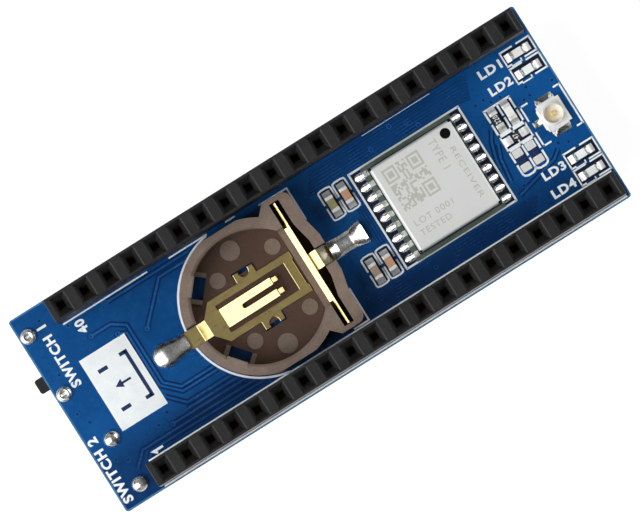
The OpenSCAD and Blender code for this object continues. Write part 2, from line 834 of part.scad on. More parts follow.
// Hollow for the cell and its side contact
module holder_hollow() {
    translate([0, 0, holder_floor]) intersection() {
        cylinder(r = pocket_r, h = holder_h, $fn = 96);
        translate([ledge_x - 2 * holder_r, -holder_r, 0]) cube([2 * holder_r, 2 * holder_r, holder_h]);
    }
    translate([0, 0, ledge_z]) cylinder(r = pocket_r, h = holder_h, $fn = 96);
    // Gate that the leaf leans through
    translate([0, -gate_y, ledge_z]) cube([slot_x + slot_w / 2, 2 * gate_y, holder_h]);
    translate([0, 0, holder_h - rim_bevel])
        cylinder(r1 = pocket_r, r2 = pocket_r + rim_bevel, h = rim_bevel, $fn = 96);
    translate([0, 0, holder_floor]) linear_extrude(height = holder_h) polygon([
        [slot_x, -slot_y], [slot_x + slot_w, -slot_y], [slot_x + slot_w, -bulge_root],
        [slot_x + slot_w + bulge, -bulge_y], [slot_x + slot_w + bulge, bulge_y],
        [slot_x + slot_w, bulge_root], [slot_x + slot_w, slot_y], [slot_x, slot_y]
    ]);
}

// Notches where the two contacts leave the holder
module holder_notches() {
    translate([-neck_x - 2 * holder_r, -notch_y, -cut])
        cube([2 * holder_r, 2 * notch_y, holder_h + 2 * cut]);
    translate([strap_x - notch_clear, -side_notch_y, -cut])
        cube([holder_r, 2 * side_notch_y, holder_h + 2 * cut]);
    for (side = [-1, 1]) {
        translate([0, side * (prong_y - sheet_t / 2), -cut])
            block([prong_span + 2 * notch_clear, prong_slot_w, holder_floor + 2 * cut]);
        rotate([0, 0, side * hook_angle])
            translate([pocket_r - window_w, -window_l / 2, -cut])
                cube([window_w, window_l, holder_floor + 2 * cut]);
    }
}

// Hook that keeps the cell down, drawn towards +X
module hook() {
    translate([pocket_r, 0, holder_h - hook_h]) strap(hook_w, [
        [rim_bevel + bond, 0], [-hook_reach / 2, 0], [-hook_reach, hook_reach / 2],
        [-hook_reach, hook_h - hook_reach / 2], [-hook_reach / 2, hook_h], [rim_bevel + bond, hook_h]
    ]);
}

// Low ribs at the ends of a floor window, drawn towards +X
module window_ribs() {
    for (end = [-1, 1]) {
        translate([pocket_r - window_w / 2, end * (window_l + window_rib) / 2, holder_floor - bond])
            block([window_w, window_rib, rib_h + bond]);
    }
}

module battery_holder() {
    color("#786259") on_board() translate([holder_x, 0, 0]) {
        difference() {
            linear_extrude(height = holder_h) holder_plan();
            holder_hollow();
            holder_notches();
        }
        for (side = [-1, 1]) {
            rotate([0, 0, side * hook_angle]) {
                hook();
                window_ribs();
            }
            translate([0, side * (pocket_r - mark_in), holder_floor]) cylinder(r = large_mark, h = mark_h);
            for (x = [-mark_near, mark_far]) {
                translate([x, side * mark_y, holder_floor]) cylinder(r = small_mark, h = mark_h);
            }
        }
    }
}

// Half of the floor contact's outline, on the +Y side
function plate_half() = [
    [plate_end - dent_d, 0], [plate_end - dent_d, dent_w / 2 - dent_d], [plate_end, dent_w / 2],
    [plate_end, plate_w / 2], [-shoulder_x, plate_w / 2], [-neck_x, neck_w / 2], [-neck_x, 0]
];

// Side tab with a round-ended slot between its prongs, on the +Y side
module side_tab_plan() {
    slot_root = plate_w / 2 + prong_web + prong_gap / 2;
    difference() {
        translate([-prong_span / 2, plate_w / 2 - bond]) square([prong_span, prong_out + bond]);
        translate([0, slot_root]) circle(d = prong_gap);
        translate([-prong_gap / 2, slot_root]) square([prong_gap, prong_out]);
    }
}

// Stamped sheet that lies on the holder floor, with prongs that hold it there
module floor_plate() {
    for (flip = [0, 1]) {
        mirror([0, flip, 0]) {
            translate([0, 0, holder_floor]) linear_extrude(height = sheet_t) {
                difference() {
                    polygon(plate_half());
                    translate([-root_x, -bond])
                        square([root_x + window_end, plate_window_w / 2 + bond]);
                }
                side_tab_plan();
            }
            for (x = [-1, 1]) {
                translate([x * (prong_span - prong_w) / 2, prong_y - sheet_t / 2, holder_floor - prong_d])
                    block([prong_w, sheet_t, prong_d + sheet_t]);
            }
        }
    }
}

// Forked spring that the cell presses down
module floor_tongue() {
    difference() {
        strap(tongue_w, [
            [-root_x - bond, holder_floor], [-root_x + bond, holder_floor],
            [tongue_tip, tongue_top], [tongue_tip + tongue_curl, tongue_top - curl_drop],
            [tongue_tip + tongue_curl, tongue_top - curl_drop + sheet_t], [tongue_tip, tongue_top + sheet_t],
            [-root_x + bond, holder_floor + sheet_t], [-root_x - bond, holder_floor + sheet_t]
        ]);
        translate([finger_root, -finger_slot / 2, 0]) cube([pocket_r, finger_slot, holder_h]);
        translate([finger_root, 0, 0]) cylinder(d = finger_slot, h = holder_h);
        translate([tongue_tip, -tip_gap / 2, 0]) cube([pocket_r, tip_gap, holder_h]);
        for (side = [-1, 1]) {
            translate([tongue_tip, side * tongue_w / 2 - tip_trim, 0])
                cube([pocket_r, 2 * tip_trim, holder_h]);
        }
    }
}

module battery_floor_contact() {
    color("#877a4d") on_board() translate([holder_x, 0, 0]) {
        floor_plate();
        floor_tongue();
        strap(neck_w, [
            [-neck_x, holder_floor], [-neck_x - ramp_l, 0], [-holder_r - floor_tab, 0],
            [-holder_r - floor_tab, sheet_t], [-neck_x - ramp_l - ramp_shift, sheet_t],
            [-neck_x - ramp_shift, holder_floor + sheet_t], [-neck_x, holder_floor + sheet_t]
        ]);
    }
}

// Height of the sloping lip of the side contact at a distance from the middle of the cell
function lip_z(x) = leaf_top - (leaf_x + sheet_t / 2 - x) * tan(lip_turn);

module battery_side_contact() {
    color("#c8b27a") on_board() translate([holder_x, 0, 0]) {
        // Upright strip held by its ends
        strap(2 * leaf_end, [
            [leaf_x - sheet_t / 2, holder_floor], [leaf_x + sheet_t / 2, holder_floor],
            [leaf_x + sheet_t / 2, leaf_top], [leaf_x - sheet_t / 2, lip_z(leaf_x - sheet_t / 2)]
        ]);
        // Leaf with a sloping lip that guides the cell in
        strap(2 * leaf_flat_y, [
            [leaf_x, lip_z(leaf_x)], [lip_x, lip_z(lip_x)],
            [lip_x + leaf_return, ledge_z + leaf_lift], [lip_x + leaf_return + sheet_t, ledge_z + leaf_lift],
            [lip_x + sheet_t, lip_z(lip_x + sheet_t) - lip_t], [leaf_x, lip_z(leaf_x) - lip_t]
        ]);
        // Tab that folds over the end wall and down to the board
        strap(side_tab_w, [
            [leaf_x, strap_h - fold_rise], [strap_x, strap_h], [strap_x + strap_run, 0],
            [block_x + side_tab, 0], [block_x + side_tab, sheet_t],
            [strap_x + strap_run + strap_shift, sheet_t],
            [strap_x + strap_shift, leaf_top], [strap_x, leaf_top], [leaf_x, leaf_top - fold_rise]
        ]);
    }
}

// Plan of the flared joint on the +Y side
function flare_half() = [
    [block_x + bulge + flare_start, 0], [block_x + side_tab + joint_over, 0],
    [block_x + side_tab + joint_over, flare_end_w / 2], [block_x + flare_waist, flare_waist_w / 2],
    [block_x + bulge + flare_start, flare_root_w / 2]
];

module battery_solder() {
    color("silver") on_board() translate([holder_x, 0, 0]) {
        // Round joint at the floor contact
        difference() {
            hull() {
                translate([-holder_r - floor_tab + joint_over, 0, 0])
                    cylinder(r1 = joint_r, r2 = joint_top_r, h = joint_h, $fn = 36);
                translate([-holder_r - joint_start, 0, 0])
                    cylinder(r1 = joint_neck_r, r2 = joint_neck_top_r, h = joint_neck_h, $fn = 36);
            }
            translate([-holder_r - floor_tab, -neck_w / 2, -cut])
                cube([2 * holder_r, neck_w, sheet_t + cut]);
        }
        // Flared joint at the side contact
        difference() {
            intersection() {
                linear_extrude(height = holder_h) {
                    polygon(flare_half());
                    mirror([0, 1]) polygon(flare_half());
                }
                strap(2 * flare_end_w, [
                    [block_x, 0], [block_x + side_tab + joint_over, 0],
                    [block_x + side_tab + joint_over, flare_end_h], [block_x + flare_waist, flare_waist_h],
                    [block_x + bulge + flare_start, flare_h], [block_x, flare_h]
                ]);
            }
            strap(side_tab_w, [
                [strap_x, leaf_top], [strap_x, -cut],
                [block_x + side_tab, -cut], [block_x + side_tab, sheet_t],
                [strap_x + strap_run + strap_shift, sheet_t], [strap_x + strap_shift, leaf_top]
            ]);
        }
    }
}

// Pad positions along both sides of the module, drawn towards +X
module at_rx_pads() {
    for (turn = [0, 180]) {
        for (i = [0 : rx_pads - 1]) {
            translate([rx_x, 0, 0]) rotate([0, 0, turn])
                translate([rx_l / 2, (i - (rx_pads - 1) / 2) * rx_pitch, 0]) children();
        }
    }
}

module receiver_board() {
    color("darkgreen") on_board() difference() {
        translate([rx_x, 0, 0]) block([rx_l, rx_w, rx_t]);
        at_rx_pads() translate([0, 0, -cut]) cylinder(r = groove_r, h = rx_t + 2 * cut);
    }
}

module receiver_solder() {
    color("silver") on_board() at_rx_pads() {
        intersection() {
            strap(rx_solder_w, [
                [0, 0], [rx_solder_l, 0], [rx_solder_l, 0.1], [rx_solder_l * 0.65, rx_t * 0.42],
                [rx_solder_l * 0.3, rx_t * 0.75], [0, rx_t * 0.95]
            ]);
            linear_extrude(height = rx_t) {
                square([2 * rx_solder_l - rx_solder_w, rx_solder_w], center = true);
                translate([rx_solder_l - rx_solder_w / 2, 0]) circle(d = rx_solder_w);
            }
        }
    }
}

// Side view of the shield, rounded along its top edges
function shield_side(l) = concat(
    [[-l / 2, 0], [l / 2, 0]],
    arc([l / 2 - shield_round, shield_h - shield_round], shield_round, 0, 90, 6),
    arc([-l / 2 + shield_round, shield_h - shield_round], shield_round, 90, 180, 6)
);

module receiver_shield() {
    color("gainsboro") on_board() translate([shield_x, 0, rx_t]) difference() {
        intersection() {
            strap(shield_w, shield_side(shield_l));
            cross_strap(shield_l, shield_side(shield_w));
        }
        translate([0, 0, -cut])
            block([shield_l - 2 * shield_t, shield_w - 2 * shield_t, shield_h - shield_t + cut]);
        for (x = [-1, 1]) {
            for (y = [-1, 1]) {
                translate([x * (shield_l - relief_r) / 2, y * (shield_w - relief_r) / 2, -cut])
                    cylinder(r = relief_r, h = shield_h + 2 * cut);
            }
        }
    }
}

// Part under the shield, in the corner that the two signs choose and moved from there
module inner_part(corner, size, move = [0, 0]) {
    on_board() translate([
        shield_x + corner.x * (inner_x - size.x / 2) + move.x,
        corner.y * (inner_y - size.y / 2) + move.y,
        rx_t
    ]) block(size);
}

module receiver_chip() {
    color("dimgray") inner_part([-1, -1], rx_chip);
}

module receiver_oscillator() {
    color("silver") inner_part([-1, 1], rx_oscillator);
}

module receiver_filter() {
    color("goldenrod") inner_part([1, -1], rx_filter);
}

module receiver_amplifier() {
    color("black") inner_part([1, -1], rx_amplifier, [0, rx_filter.y + inner_gap]);
}

module receiver_passives() {
    color("tan") for (i = [0 : passives - 1]) {
        inner_part([1, 1], rx_passive, [-i * passive_step, 0]);
    }
}

module antenna_base() {
    color("ivory") on_board() translate([ant_x, ant_y, 0]) difference() {
        linear_extrude(height = ant_base_h) polygon([
            [-ant_w / 2 + ant_cut, -ant_w / 2], [ant_w / 2, -ant_w / 2], [ant_w / 2, ant_w / 2],
            [-ant_w / 2 + ant_cut, ant_w / 2], [-ant_w / 2, ant_w / 2 - ant_cut],
            [-ant_w / 2, -ant_w / 2 + ant_cut]
        ]);
        translate([0, 0, -cut]) cylinder(d = ant_pin_d, h = ant_base_h + 2 * cut);
        translate([-ant_w, -signal_w / 2, -cut]) cube([ant_w, signal_w, flange_t + cut]);
    }
}

module antenna_shell() {
    color("silver") on_board() translate([ant_x, ant_y, 0]) {
        difference() {
            translate([0, 0, ant_base_h]) block([flange_w, ant_w, flange_t]);
            cylinder(d = ring_d - 2 * ring_t, h = ant_h);
        }
        translate([0, 0, ant_base_h]) rotate_extrude() translate([ring_d / 2 - ring_t, 0])
            square([ring_t, ant_h - ant_base_h]);
        for (flip = [0, 1]) {
            mirror([0, flip, 0]) cross_strap(ground_w, [
                [ant_w / 2 - bond, flange_top], [ant_w / 2 + flange_t, flange_top],
                [ant_w / 2 + flange_t, flange_t], [ant_w / 2 + ground_l, flange_t],
                [ant_w / 2 + ground_l, 0], [ant_w / 2, 0],
                [ant_w / 2, ant_base_h], [ant_w / 2 - bond, ant_base_h]
            ]);
        }
    }
}

module antenna_pin() {
    color("gold") on_board() translate([ant_x, ant_y, 0]) {
        cylinder(d = ant_pin_d, h = ant_h - ant_pin_drop - ant_pin_d / 4);
        translate([0, 0, ant_h - ant_pin_drop - ant_pin_d / 4])
            cylinder(d1 = ant_pin_d, d2 = ant_pin_d / 2, h = ant_pin_d / 4);
        translate([-ant_w / 2 - signal_l, -signal_w / 2, 0]) cube([ant_w / 2 + signal_l, signal_w, flange_t]);
    }
}

// Wedge of solder that runs out along +X from an upright face
module fillet(w, l, h) {
    strap(w, [[0, 0], [l, 0], [l, h * 0.08], [l * 0.55, h * 0.3], [l * 0.25, h * 0.62], [0, h]]);
}

module antenna_solder() {
    color("silver") on_board() translate([ant_x, ant_y, 0]) {
        for (turn = [90, -90]) {
            rotate([0, 0, turn]) translate([ant_w / 2 + ground_l, 0, 0])
                fillet(ground_w, ant_solder, ant_solder_h);
        }
        rotate([0, 0, 180]) translate([ant_w / 2 + signal_l, 0, 0])
            fillet(signal_w, ant_solder, ant_solder_h);
    }
}

// Chip part along X: its body, its two metal ends and its two solder wedges
module chip_body(h) {
    block([body_l, chip_w - 2 * end_step, h - end_step]);
}

module chip_ends(h) {
    for (side = [-1, 1]) {
        translate([side * (chip_l - end_l) / 2, 0, 0]) block([end_l, chip_w, h]);
    }
}

module chip_fillets(h) {
    for (turn = [0, 180]) {
        rotate([0, 0, turn]) translate([chip_l / 2, 0, 0]) fillet(chip_w, chip_solder_l, h * chip_climb);
    }
}

module at_spot(spot, turn = 0) {
    translate([spot.x, spot.y, 0]) rotate([0, 0, turn]) children();
}

module capacitor(i) {
    on_board() at_spot(capacitor_spots[i], 90) chip_body(capacitor_h);
}

module capacitor_1() {
    color("#8a8560") capacitor(0);
}

module capacitor_2() {
    color("#b08a6d") capacitor(1);
}

module capacitor_3() {
    color("#8d7e6f") capacitor(2);
}

module capacitor_4() {
    color("#ac8566") capacitor(3);
}

module capacitor_ends() {
    color("silver") on_board() for (spot = capacitor_spots) {
        at_spot(spot, 90) chip_ends(capacitor_h);
    }
}

module resistor_1() {
    color("#202020") on_board() at_spot(resistor_1_spot, 90) chip_body(resistor_h);
}

module resistor_2() {
    color("#202020") on_board() at_spot(resistor_2_spot) chip_body(resistor_h);
}

module inductor_1() {
    color("white") on_board() at_spot(inductor_1_spot, 90) chip_body(capacitor_h);
}

module resistor_ends() {
    color("silver") on_board() {
        at_spot(resistor_1_spot, 90) chip_ends(resistor_h);
        at_spot(resistor_2_spot) chip_ends(resistor_h);
        at_spot(inductor_1_spot, 90) chip_ends(capacitor_h);
    }
}

// Indicator lens with sloping ends
module led(i) {
    on_board() translate([led_x, led_ys[i], led_base_h]) strap(chip_w - 2 * end_step, [
        [-led_lens_l / 2, 0], [led_lens_l / 2, 0],
        [led_lens_l / 2 - led_slope, led_lens_h], [-led_lens_l / 2 + led_slope, led_lens_h]
    ]);
}

module led_1() {
    color("#f0f4f0") led(0);
}

module led_2() {
    color("#f0f4f0") led(1);
}

module led_3() {
    color("#f0f4f0") led(2);
}

module led_4() {
    color("#f0f4f0") led(3);
}

module led_bases() {
    color("white") on_board() for (y = led_ys) {
        translate([led_x, y, 0]) block([led_lens_l, chip_w - 2 * end_step, led_base_h]);
    }
}

module led_ends() {
    color("silver") on_board() for (y = led_ys) {
        for (side = [-1, 1]) {
            translate([led_x + side * (chip_l + led_lens_l) / 4, y, 0])
                block([(chip_l - led_lens_l) / 2, chip_w, led_base_h + end_step]);
        }
    }
}

module chip_solder() {
    color("silver") on_board() {
        for (spot = capacitor_spots) {
            at_spot(spot, 90) chip_fillets(capacitor_h);
        }
        for (y = led_ys) {
            at_spot([led_x, y]) chip_fillets(led_base_h + end_step);
        }
        at_spot(resistor_1_spot, 90) chip_fillets(resistor_h);
        at_spot(resistor_2_spot) chip_fillets(resistor_h);
        at_spot(inductor_1_spot, 90) chip_fillets(resistor_h);
    }
}

module spare_pads() {
    color("silver") on_board() for (spot = spare_spots) {
        at_spot(spot) rounded_plate(spare_w, spare_l, spare_h, spare_corner);
    }
}

module switch_base() {
    color("#202020") under_board() difference() {
        translate([switch_front, switch_y - base_l / 2, 0]) cube([switch_d, base_l, switch_h]);
        // Channel of the slider and the slot of the lever
        translate([switch_front + front_wall, switch_y - channel_l / 2, roof_t])
            cube([slider_d + 2 * slider_clear, channel_l, switch_h]);
        translate([switch_front - cut, switch_y - lever_slot_l / 2, roof_t])
            cube([front_wall + 2 * cut, lever_slot_l, switch_h]);
    }
}

module switch_shell() {
    color("silver") under_board() {
        translate([switch_front, switch_y - leg_gap / 2 - shell_t / 2, switch_h])
            cube([switch_d, leg_gap + shell_t, shell_t]);
        at_legs() {
            translate([switch_front - leg_x, -shell_t / 2, 0]) cube([shell_wall_l, shell_t, switch_h]);
            translate([-leg_w / 2, -shell_t / 2, -board_t - leg_out])
                cube([leg_w, shell_t, board_t + leg_out]);
        }
    }
}

module switch_lever() {
    color("#2a2a2a") under_board() {
        translate([slider_front, lever_rest - slider_l / 2, slider_top])
            cube([slider_d, slider_l, slider_end - slider_top]);
        translate([(slider_front + lever_corner - edge_x - lever_out) / 2, lever_rest, slider_top])
            rounded_plate(lever_l, lever_w, slider_end - slider_top, lever_corner);
    }
}

module switch_wiper() {
    color("gold") under_board() translate([slider_front + slider_d / 2, lever_rest, slider_top - wiper_t])
        block([wiper_w, wiper_l, wiper_t]);
}

module switch_terminals() {
    color("silver") under_board() for (i = [-1, 0, 1]) {
        translate([switch_front + switch_d, switch_y + i * terminal_step, 0]) strap(terminal_w, [
            [0, 0], [terminal_l, 0], [terminal_l, shell_t], [shell_t, shell_t], [shell_t, roof_t], [0, roof_t]
        ]);
    }
}

module switch_solder() {
    color("silver") on_board() at_legs() difference() {
        rotate_extrude() polygon([
            [0, 0], [leg_solder_r, 0], [leg_solder_r * 0.97, leg_solder_h * 0.3],
            [leg_solder_r * 0.86, leg_solder_h * 0.62], [leg_solder_r * 0.68, leg_solder_h * 0.9],
            [leg_solder_r * 0.5, leg_solder_h], [leg_solder_r * 0.34, leg_solder_h * 0.9],
            [0, leg_solder_h * 0.62]
        ]);
        translate([0, 0, -cut]) block([leg_w, shell_t, leg_out + cut]);
    }
}

module button_body() {
    color("#202020") under_board() difference() {
        translate([button_x, -button_y, 0]) difference() {
            block([button_w, button_l, button_h]);
            translate([0, 0, well_z]) cylinder(r = well_r, h = button_h);
        }
        at_leads() translate([0, 0, -cut]) block([lead_w, lead_t, lead_in + cut]);
    }
}

module button_cover() {
    color("silver") under_board() translate([button_x, -button_y, button_h]) difference() {
        rounded_plate(button_w, button_l, cover_t, cover_corner);
        translate([0, 0, -cut]) cylinder(r = plunger_r + plunger_clear, h = cover_t + 2 * cut);
    }
}

module button_plunger() {
    color("#2a2a2a") under_board() translate([button_x, -button_y, 0]) {
        translate([0, 0, plunger_bottom]) cylinder(r = plunger_r + plunger_rim, h = plunger_rim_t);
        translate([0, 0, plunger_bottom])
            cylinder(r = plunger_r, h = button_h + cover_t + plunger_out - plunger_bottom);
    }
}

module button_dome() {
    color("silver") under_board() translate([button_x, -button_y, well_z]) rotate_extrude() polygon([
        [0, dome_rise], [dome_r * 0.5, dome_rise * 0.75], [dome_r, 0], [dome_r, dome_t],
        [dome_r * 0.5, dome_rise * 0.75 + dome_t], [0, dome_rise + dome_t]
    ]);
}

module button_leads() {
    color("silver") under_board() at_leads() translate([0, 0, -board_t - lead_out])
        block([lead_w, lead_t, board_t + lead_out + lead_in]);
}

module button_solder() {
    color("silver") on_board() at_leads() difference() {
        rotate_extrude() polygon(concat(
            [for (i = [0 : 8]) [lead_solder_r * cos(i * 90 / 8), lead_solder_h * sin(i * 90 / 8)]],
            [[0, 0]]
        ));
        translate([0, 0, -cut]) block([lead_w, lead_t, lead_out + cut]);
    }
}

module series_resistors() {
    color("#202020") under_board() for (y = led_ys) {
        at_spot([series_x, y]) chip_body(resistor_h);
    }
}

module series_ends() {
    color("silver") under_board() for (y = led_ys) {
        at_spot([series_x, y]) chip_ends(resistor_h);
    }
}

circuit_board();
socket_strip_1();
socket_strip_2();
socket_contacts_1();
socket_contacts_2();
pin_solder_1();
pin_solder_2();
battery_holder();
battery_floor_contact();
battery_side_contact();
battery_solder();
receiver_board();
receiver_shield();
receiver_solder();
receiver_chip();
receiver_oscillator();
receiver_filter();
receiver_amplifier();
receiver_passives();
antenna_base();
antenna_shell();
antenna_pin();
antenna_solder();
capacitor_1();
capacitor_2();
capacitor_3();
capacitor_4();
capacitor_ends();
resistor_1();
resistor_2();
inductor_1();
resistor_ends();
led_1();
led_2();
led_3();
led_4();
led_bases();
led_ends();
chip_solder();
spare_pads();
switch_shell();
switch_base();
switch_lever();
switch_wiper();
switch_terminals();
switch_solder();
button_body();
button_cover();
button_plunger();
button_dome();
button_leads();
button_solder();
series_resistors();
series_ends();
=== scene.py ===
import json
import math
import random

import bmesh
import bpy
from mathutils import Matrix, Vector


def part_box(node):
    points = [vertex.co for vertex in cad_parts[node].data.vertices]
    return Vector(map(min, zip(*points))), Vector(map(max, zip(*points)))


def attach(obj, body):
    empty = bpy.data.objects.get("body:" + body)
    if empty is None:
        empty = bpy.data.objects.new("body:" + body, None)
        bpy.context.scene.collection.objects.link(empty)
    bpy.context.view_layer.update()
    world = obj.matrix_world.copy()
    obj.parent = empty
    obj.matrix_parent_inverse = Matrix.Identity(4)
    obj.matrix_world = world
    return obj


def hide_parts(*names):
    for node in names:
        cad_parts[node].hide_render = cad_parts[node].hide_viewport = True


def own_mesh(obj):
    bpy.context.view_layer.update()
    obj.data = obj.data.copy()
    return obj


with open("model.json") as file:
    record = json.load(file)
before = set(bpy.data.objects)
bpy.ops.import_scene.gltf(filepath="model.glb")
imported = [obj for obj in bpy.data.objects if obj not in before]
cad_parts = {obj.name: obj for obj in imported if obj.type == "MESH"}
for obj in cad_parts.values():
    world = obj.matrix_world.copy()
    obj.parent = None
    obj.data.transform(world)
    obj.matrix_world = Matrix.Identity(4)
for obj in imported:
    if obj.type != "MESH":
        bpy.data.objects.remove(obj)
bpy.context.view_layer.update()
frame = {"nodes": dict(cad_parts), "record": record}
nodes = frame["nodes"]
scene = bpy.context.scene
mm = 0.001
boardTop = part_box("circuit_board")[1].z
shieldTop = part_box("receiver_shield")[1].z
print("frame loaded:", len(nodes), "nodes")


def paint(red, green, blue):
    # screen colour in 0 to 255, as the linear colour that shaders use
    parts = [c / 255 for c in (red, green, blue)]
    return tuple(c / 12.92 if c <= 0.04045 else ((c + 0.055) / 1.055) ** 2.4 for c in parts) + (1.0,)


# node helpers

def addNode(tree, kind, sockets=None, **settings):
    node = tree.nodes.new(kind)
    for key, value in settings.items():
        setattr(node, key, value)
    for key, value in (sockets or {}).items():
        node.inputs[key].default_value = value
    return node


def startGroup(name, takes, gives):
    group = bpy.data.node_groups.new(name, "ShaderNodeTree")
    for label, kind, value in takes:
        socket = group.interface.new_socket(name=label, in_out="INPUT", socket_type=kind)
        socket.default_value = value
    for label, kind in gives:
        group.interface.new_socket(name=label, in_out="OUTPUT", socket_type=kind)
    return group, addNode(group, "NodeGroupInput"), addNode(group, "NodeGroupOutput")


def objectPlace(tree):
    # object coordinates in millimetres
    place = addNode(tree, "ShaderNodeTexCoord")
    size = addNode(tree, "ShaderNodeMapping", {"Scale": (1 / mm, 1 / mm, 1 / mm)})
    tree.links.new(place.outputs["Object"], size.inputs["Vector"])
    return size.outputs["Vector"]


def makeGrainGroup():
    # cloudy patches with a finer grain on top, in millimetres
    group, taken, given = startGroup(
        "grain",
        [("Patch", "NodeSocketFloat", 1.0), ("Fine", "NodeSocketFloat", 12.0), ("Share", "NodeSocketFloat", 0.4)],
        [("Mask", "NodeSocketFloat"), ("Height", "NodeSocketFloat")],
    )
    link = group.links.new
    place = objectPlace(group)
    patch = addNode(group, "ShaderNodeTexNoise", {"Detail": 3.0, "Roughness": 0.55})
    fine = addNode(group, "ShaderNodeTexNoise", {"Detail": 2.0, "Roughness": 0.5})
    blend = addNode(group, "ShaderNodeMix", data_type="FLOAT")
    spread = addNode(group, "ShaderNodeMapRange", {"From Min": 0.32, "From Max": 0.68})
    link(place, patch.inputs["Vector"])
    link(place, fine.inputs["Vector"])
    link(taken.outputs["Patch"], patch.inputs["Scale"])
    link(taken.outputs["Fine"], fine.inputs["Scale"])
    link(taken.outputs["Share"], blend.inputs["Factor"])
    link(patch.outputs["Fac"], blend.inputs["A"])
    link(fine.outputs["Fac"], blend.inputs["B"])
    link(blend.outputs["Result"], spread.inputs["Value"])
    link(spread.outputs["Result"], given.inputs["Mask"])
    link(fine.outputs["Fac"], given.inputs["Height"])
    return group


def makeStreakGroup():
    # fine scratches drawn out along X, as on rolled sheet
    group, taken, given = startGroup(
        "rollStreaks",
        [("Along", "NodeSocketFloat", 0.6), ("Across", "NodeSocketFloat", 22.0)],
        [("Mask", "NodeSocketFloat")],
    )
    link = group.links.new
    place = objectPlace(group)
    factors = addNode(group, "ShaderNodeCombineXYZ")
    stretch = addNode(group, "ShaderNodeVectorMath", operation="MULTIPLY")
    noise = addNode(group, "ShaderNodeTexNoise", {"Scale": 1.0, "Detail": 3.0, "Roughness": 0.6})
    link(taken.outputs["Along"], factors.inputs["X"])
    link(taken.outputs["Across"], factors.inputs["Y"])
    link(taken.outputs["Across"], factors.inputs["Z"])
    link(place, stretch.inputs[0])
    link(factors.outputs["Vector"], stretch.inputs[1])
    link(stretch.outputs["Vector"], noise.inputs["Vector"])
    link(noise.outputs["Fac"], given.inputs["Mask"])
    return group


def makeWeaveGroup():
    # the glass cloth that shows faintly under the solder mask
    group, taken, given = startGroup(
        "glassWeave", [("Pitch", "NodeSocketFloat", 2.2)], [("Mask", "NodeSocketFloat")]
    )
    link = group.links.new
    place = objectPlace(group)
    waves = []
    for axis in ("X", "Y"):
        wave = addNode(
            group, "ShaderNodeTexWave", {"Distortion": 1.2, "Detail": 1.0}, wave_type="BANDS", bands_direction=axis
        )
        link(place, wave.inputs["Vector"])
        link(taken.outputs["Pitch"], wave.inputs["Scale"])
        waves.append(wave)
    cross = addNode(group, "ShaderNodeMath", operation="MULTIPLY")
    link(waves[0].outputs["Fac"], cross.inputs[0])
    link(waves[1].outputs["Fac"], cross.inputs[1])
    link(cross.outputs["Value"], given.inputs["Mask"])
    return group


def makeBandGroup():
    # one between two heights, in millimetres
    group, taken, given = startGroup(
        "heightBand", [("Low", "NodeSocketFloat", 0.0), ("High", "NodeSocketFloat", 1.0)], [("Mask", "NodeSocketFloat")]
    )
    link = group.links.new
    place = objectPlace(group)
    parts = addNode(group, "ShaderNodeSeparateXYZ")
    above = addNode(group, "ShaderNodeMath", operation="GREATER_THAN")
    below = addNode(group, "ShaderNodeMath", operation="LESS_THAN")
    both = addNode(group, "ShaderNodeMath", operation="MULTIPLY")
    link(place, parts.inputs["Vector"])
    for test, limit in ((above, "Low"), (below, "High")):
        link(parts.outputs["Z"], test.inputs[0])
        link(taken.outputs[limit], test.inputs[1])
    link(above.outputs["Value"], both.inputs[0])
    link(below.outputs["Value"], both.inputs[1])
    link(both.outputs["Value"], given.inputs["Mask"])
    return group


def makeFadeGroup():
    # rises from zero to one between two places along Y, in millimetres
    group, taken, given = startGroup(
        "sideFade", [("Start", "NodeSocketFloat", 0.0), ("Stop", "NodeSocketFloat", 1.0)], [("Mask", "NodeSocketFloat")]
    )
    link = group.links.new
    place = objectPlace(group)
    parts = addNode(group, "ShaderNodeSeparateXYZ")
    ramp = addNode(group, "ShaderNodeMapRange", interpolation_type="SMOOTHSTEP")
    link(place, parts.inputs["Vector"])
    link(parts.outputs["Y"], ramp.inputs["Value"])
    link(taken.outputs["Start"], ramp.inputs["From Min"])
    link(taken.outputs["Stop"], ramp.inputs["From Max"])
    link(ramp.outputs["Result"], given.inputs["Mask"])
    return group


grainGroup = makeGrainGroup()
bandGroup = makeBandGroup()
fadeGroup = makeFadeGroup()
streakGroup = makeStreakGroup()
weaveGroup = makeWeaveGroup()


